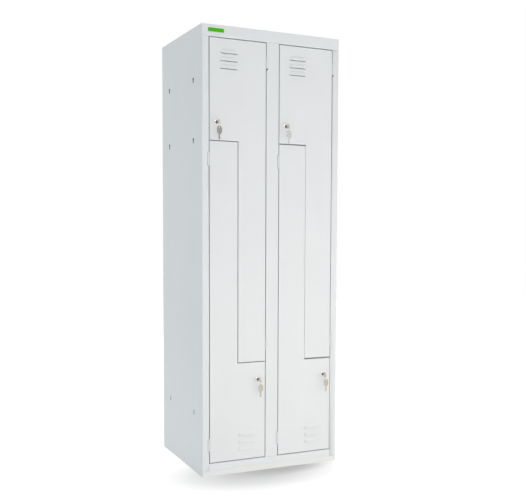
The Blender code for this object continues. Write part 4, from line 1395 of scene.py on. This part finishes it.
def makeRivets():
    low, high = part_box("back_panel")
    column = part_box("centre_partition")[1].x - rivet["drop"]
    lift = (high.z - low.z - 2 * rivet["columnMargin"]) / (rivet["columnCount"] - 1)
    head, zinc = makeRivetHead(), metals["brightZinc"]
    start = (column, high.y, low.z + rivet["columnMargin"])
    bm = bmesh.new()
    bm.from_mesh(layRow("rivetColumn", head, rivet["columnCount"], start, (0, 0, lift), zinc))
    for name in ("left_hat_shelf", "right_hat_shelf", "left_shoe_shelf", "right_shoe_shelf"):
        shelfLow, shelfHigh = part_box(name)
        span = (shelfHigh.x - shelfLow.x - 2 * rivet["rowMargin"]) / (rivet["rowCount"] - 1)
        start = (shelfLow.x + rivet["rowMargin"], high.y, shelfHigh.z - rivet["drop"])
        bm.from_mesh(layRow(f"{name}Rivets", head, rivet["rowCount"], start, (span, 0, 0), zinc))
    dress(solidFrom(bm, "back_rivets"), zinc, "cabinet", "zinc")


makeRivets()
print("back rivets made")


# Label plate: a plain moulded strip with rounded corners

labelPlate = {
    "corner": 0.0022,
    "edge": 0.0002,
}


def makeLabel():
    low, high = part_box("label_plate")
    corner = labelPlate["corner"]
    x, z = (high.x - low.x) / 2 - corner, (high.z - low.z) / 2 - corner
    outline = []
    for sx, sz, start in ((1, 1, 0), (-1, 1, 90), (-1, -1, 180), (1, -1, 270)):
        outline += cornerArc(sx * x, sz * z, corner, start)
    upright = laidAlong((1, 0, 0), (0, 0, 1), (0, -1, 0), (low + high) / 2)
    bm = bmesh.new()
    addPlate(bm, outline, [], high.y - low.y, labelPlate["edge"], upright)
    dress(solidFrom(bm, "label_platePlain"), limePlastic, "cabinet", "green_plate", "label_plate")


makeLabel()
print("label plate made")


# Floor, backdrop and light

studio = {
    "worldColour": (0.975, 1.008, 1.020),
    "worldStrength": 0.572,
    "floorColour": (244, 243, 241),
    "floorRough": 0.9,
    "floorSize": 14.0,
    "floorCells": 4,
    "floorDrop": 0.0005,
    "floorGlow": 1.50,
    "floorGlowShare": 0.55,
    # a shadow and a contact shadow are painted into the floor's glow colour at the locker's front foot
    "shadow": {"middle": (-0.08, -0.29), "reach": (0.50, 0.35), "core": 0.15, "colour": (174, 174, 174)},
    "contactPaintedShadow": {"middle": (0.03, -0.28), "reach": (0.29, 0.12), "core": 0.20, "colour": (128, 128, 128)},
    "lamps": {
        "frontLow": {"place": (0.3, -2.6, 0.28), "aim": (0.0, -0.3, 0.24), "wide": 1.2, "tall": 0.54,
                     "power": 15.2, "tint": (1.0, 0.958, 0.885)},
        "right": {"place": (2.6, -3.2, 0.70), "aim": (0.1, -0.3, 0.70), "wide": 2.0, "tall": 1.4,
                  "power": 21.0, "tint": (1.0, 0.94, 0.94)},
        "leftLow": {"place": (-3.0, 0.4, 0.50), "aim": (-0.3, 0.1, 0.50), "wide": 1.6, "tall": 1.0,
                    "power": 14.4, "tint": (0.86, 0.97, 1.0)},
        "top": {"place": (0.0, -3.6, 3.2), "aim": (0.0, -0.2, 1.2), "wide": 2.0, "tall": 2.0,
                "power": 16.5, "tint": (0.86, 0.95, 1.0)},
        "back": {"place": (0.9, 4.2, 1.7), "aim": (0.0, 0.3, 0.9), "wide": 2.5, "tall": 2.0,
                 "power": 32.0, "tint": (1.0, 0.99, 0.98)},
    },
    "cardColour": (34, 32, 31),
    "cardDull": 0.8,
    "cardRough": 0.95,
    "cardWeave": 40.0,
    "cardSize": (0.6, 0.02, 2.6),
    "cardEdge": 0.004,
    "cardMiddles": ((-3.0, -4.3, 1.1), (3.4, -4.3, 1.1)),
    "glowPlace": (-1.4, -1.9, 3.1),
    "glowAim": (-0.1, -0.27, 0.9),
    "glowSize": 1.8,
    "glowCells": 2,
    "glowStrength": 3.0,
}


def makeWorld():
    # soft light from all round, and plain white where the camera or gloss looks past the floor
    world = bpy.data.worlds.new("studioWorld")
    bpy.context.scene.world = world
    sheet = Sheet(world, "ShaderNodeOutputWorld")
    looks = (((*studio["worldColour"], 1), studio["worldStrength"]), ((1, 1, 1, 1), 1.0))
    light, white = [sheet.add("ShaderNodeBackground", None, {"Color": colour, "Strength": strength})
                    for colour, strength in looks]
    sheet.show(sheet.add("ShaderNodeMixShader", None, {0: sheet.seenDirectly(), 1: light, 2: white}))


def addPaintedShadow(sheet, where, pool, around):
    # a soft round shadow painted on the floor, over the colour that lies around it
    shares = []
    for axis, (middle, reach) in enumerate(zip(pool["middle"], pool["reach"])):
        along = sheet.add("ShaderNodeSeparateXYZ", None, {0: where}, out=axis)
        share = (along - middle) * (1 / reach)
        shares.append(share * share)
    distance = sheet.add("ShaderNodeMath", {"operation": "SQRT"}, {0: shares[0] + shares[1]})
    clear = sheet.add("ShaderNodeMapRange", {"interpolation_type": "SMOOTHSTEP"},
                      {"Value": distance, "From Min": pool["core"], "From Max": 1.0})
    return sheet.blendColours(clear, paint(*pool["colour"]), around)


def makeFloorPaint():
    # glows white towards the camera, with two soft shadows painted at the locker's front foot
    sheet = newSheet("studioFloor")
    where = sheet.objectPlace()
    glowWithPaintedShadow = addPaintedShadow(sheet, where, studio["shadow"], (1, 1, 1, 1))
    glowWithPaintedShadow = addPaintedShadow(sheet, where, studio["contactPaintedShadow"], glowWithPaintedShadow)
    plain = sheet.add("ShaderNodeBsdfPrincipled", None,
                      {"Base Color": paint(*studio["floorColour"]), "Roughness": studio["floorRough"]})
    glow = sheet.add("ShaderNodeEmission", None, {"Color": glowWithPaintedShadow, "Strength": studio["floorGlow"]})
    share = sheet.seenDirectly() * studio["floorGlowShare"]
    return sheet.show(sheet.add("ShaderNodeMixShader", None, {0: share, 1: plain, 2: glow}))


def makeStage(name, size, cells, placing, material):
    # a flat square that belongs to the studio
    bm = bmesh.new()
    bmesh.ops.create_grid(bm, x_segments=cells, y_segments=cells, size=size / 2)
    bmesh.ops.transform(bm, verts=bm.verts, matrix=placing)
    mesh = plainMesh(bm, name)
    mesh.materials.append(material)
    stage = newObject(name, mesh)
    return stage


def makeFloor():
    placing = Matrix.Translation((0, 0, cadBox[0].z - studio["floorDrop"]))
    makeStage("studioFloor", studio["floorSize"], studio["floorCells"], placing, makeFloorPaint())


def makeLamp(name):
    lamp = studio["lamps"][name]
    data = bpy.data.lights.new(f"{name}Lamp", "AREA")
    data.shape = "RECTANGLE"
    data.size = lamp["wide"]
    data.size_y = lamp["tall"]
    data.energy = lamp["power"]
    data.color = lamp["tint"]
    holder = newObject(f"{name}Lamp", data)
    holder.location = lamp["place"]
    holder.rotation_euler = (Vector(lamp["aim"]) - Vector(lamp["place"])).to_track_quat("-Z", "Y").to_euler()
    holder.visible_camera = False
    holder.visible_glossy = False


def showInGlossOnly(item):
    item.visible_camera = False
    item.visible_diffuse = False
    item.visible_shadow = False


def makeCards():
    # dark cards beside the camera
    sheet = newSheet("studioCard")
    weave = sheet.noise(studio["cardWeave"])
    light, dark = paint(*studio["cardColour"]), darker(studio["cardColour"], studio["cardDull"])
    cloth = sheet.finish({
        "Base Color": sheet.blendColours(weave, light, dark),
        "Roughness": studio["cardRough"],
    })
    half = Vector(studio["cardSize"]) / 2
    for index, middle in enumerate(studio["cardMiddles"]):
        bm = bmesh.new()
        addSlab(bm, Vector(middle) - half, Vector(middle) + half, studio["cardEdge"])
        card = solidFrom(bm, f"studioCard{index}")
        card.data.materials.append(cloth)
        showInGlossOnly(card)


def makeGlow():
    # a bright panel up on the left
    sheet = newSheet("studioGlow")
    light = sheet.add("ShaderNodeEmission", None, {"Color": (1, 1, 1, 1), "Strength": studio["glowStrength"]})
    towards = Vector(studio["glowAim"]) - Vector(studio["glowPlace"])
    placing = Matrix.Translation(studio["glowPlace"]) @ towards.to_track_quat("Z", "Y").to_matrix().to_4x4()
    panel = makeStage("studioGlow", studio["glowSize"], studio["glowCells"], placing, sheet.show(light))
    showInGlossOnly(panel)


makeWorld()
makeFloor()
for name in studio["lamps"]:
    makeLamp(name)
makeCards()
makeGlow()
print("studio made")


bpy.context.scene.view_settings.view_transform = "Standard"
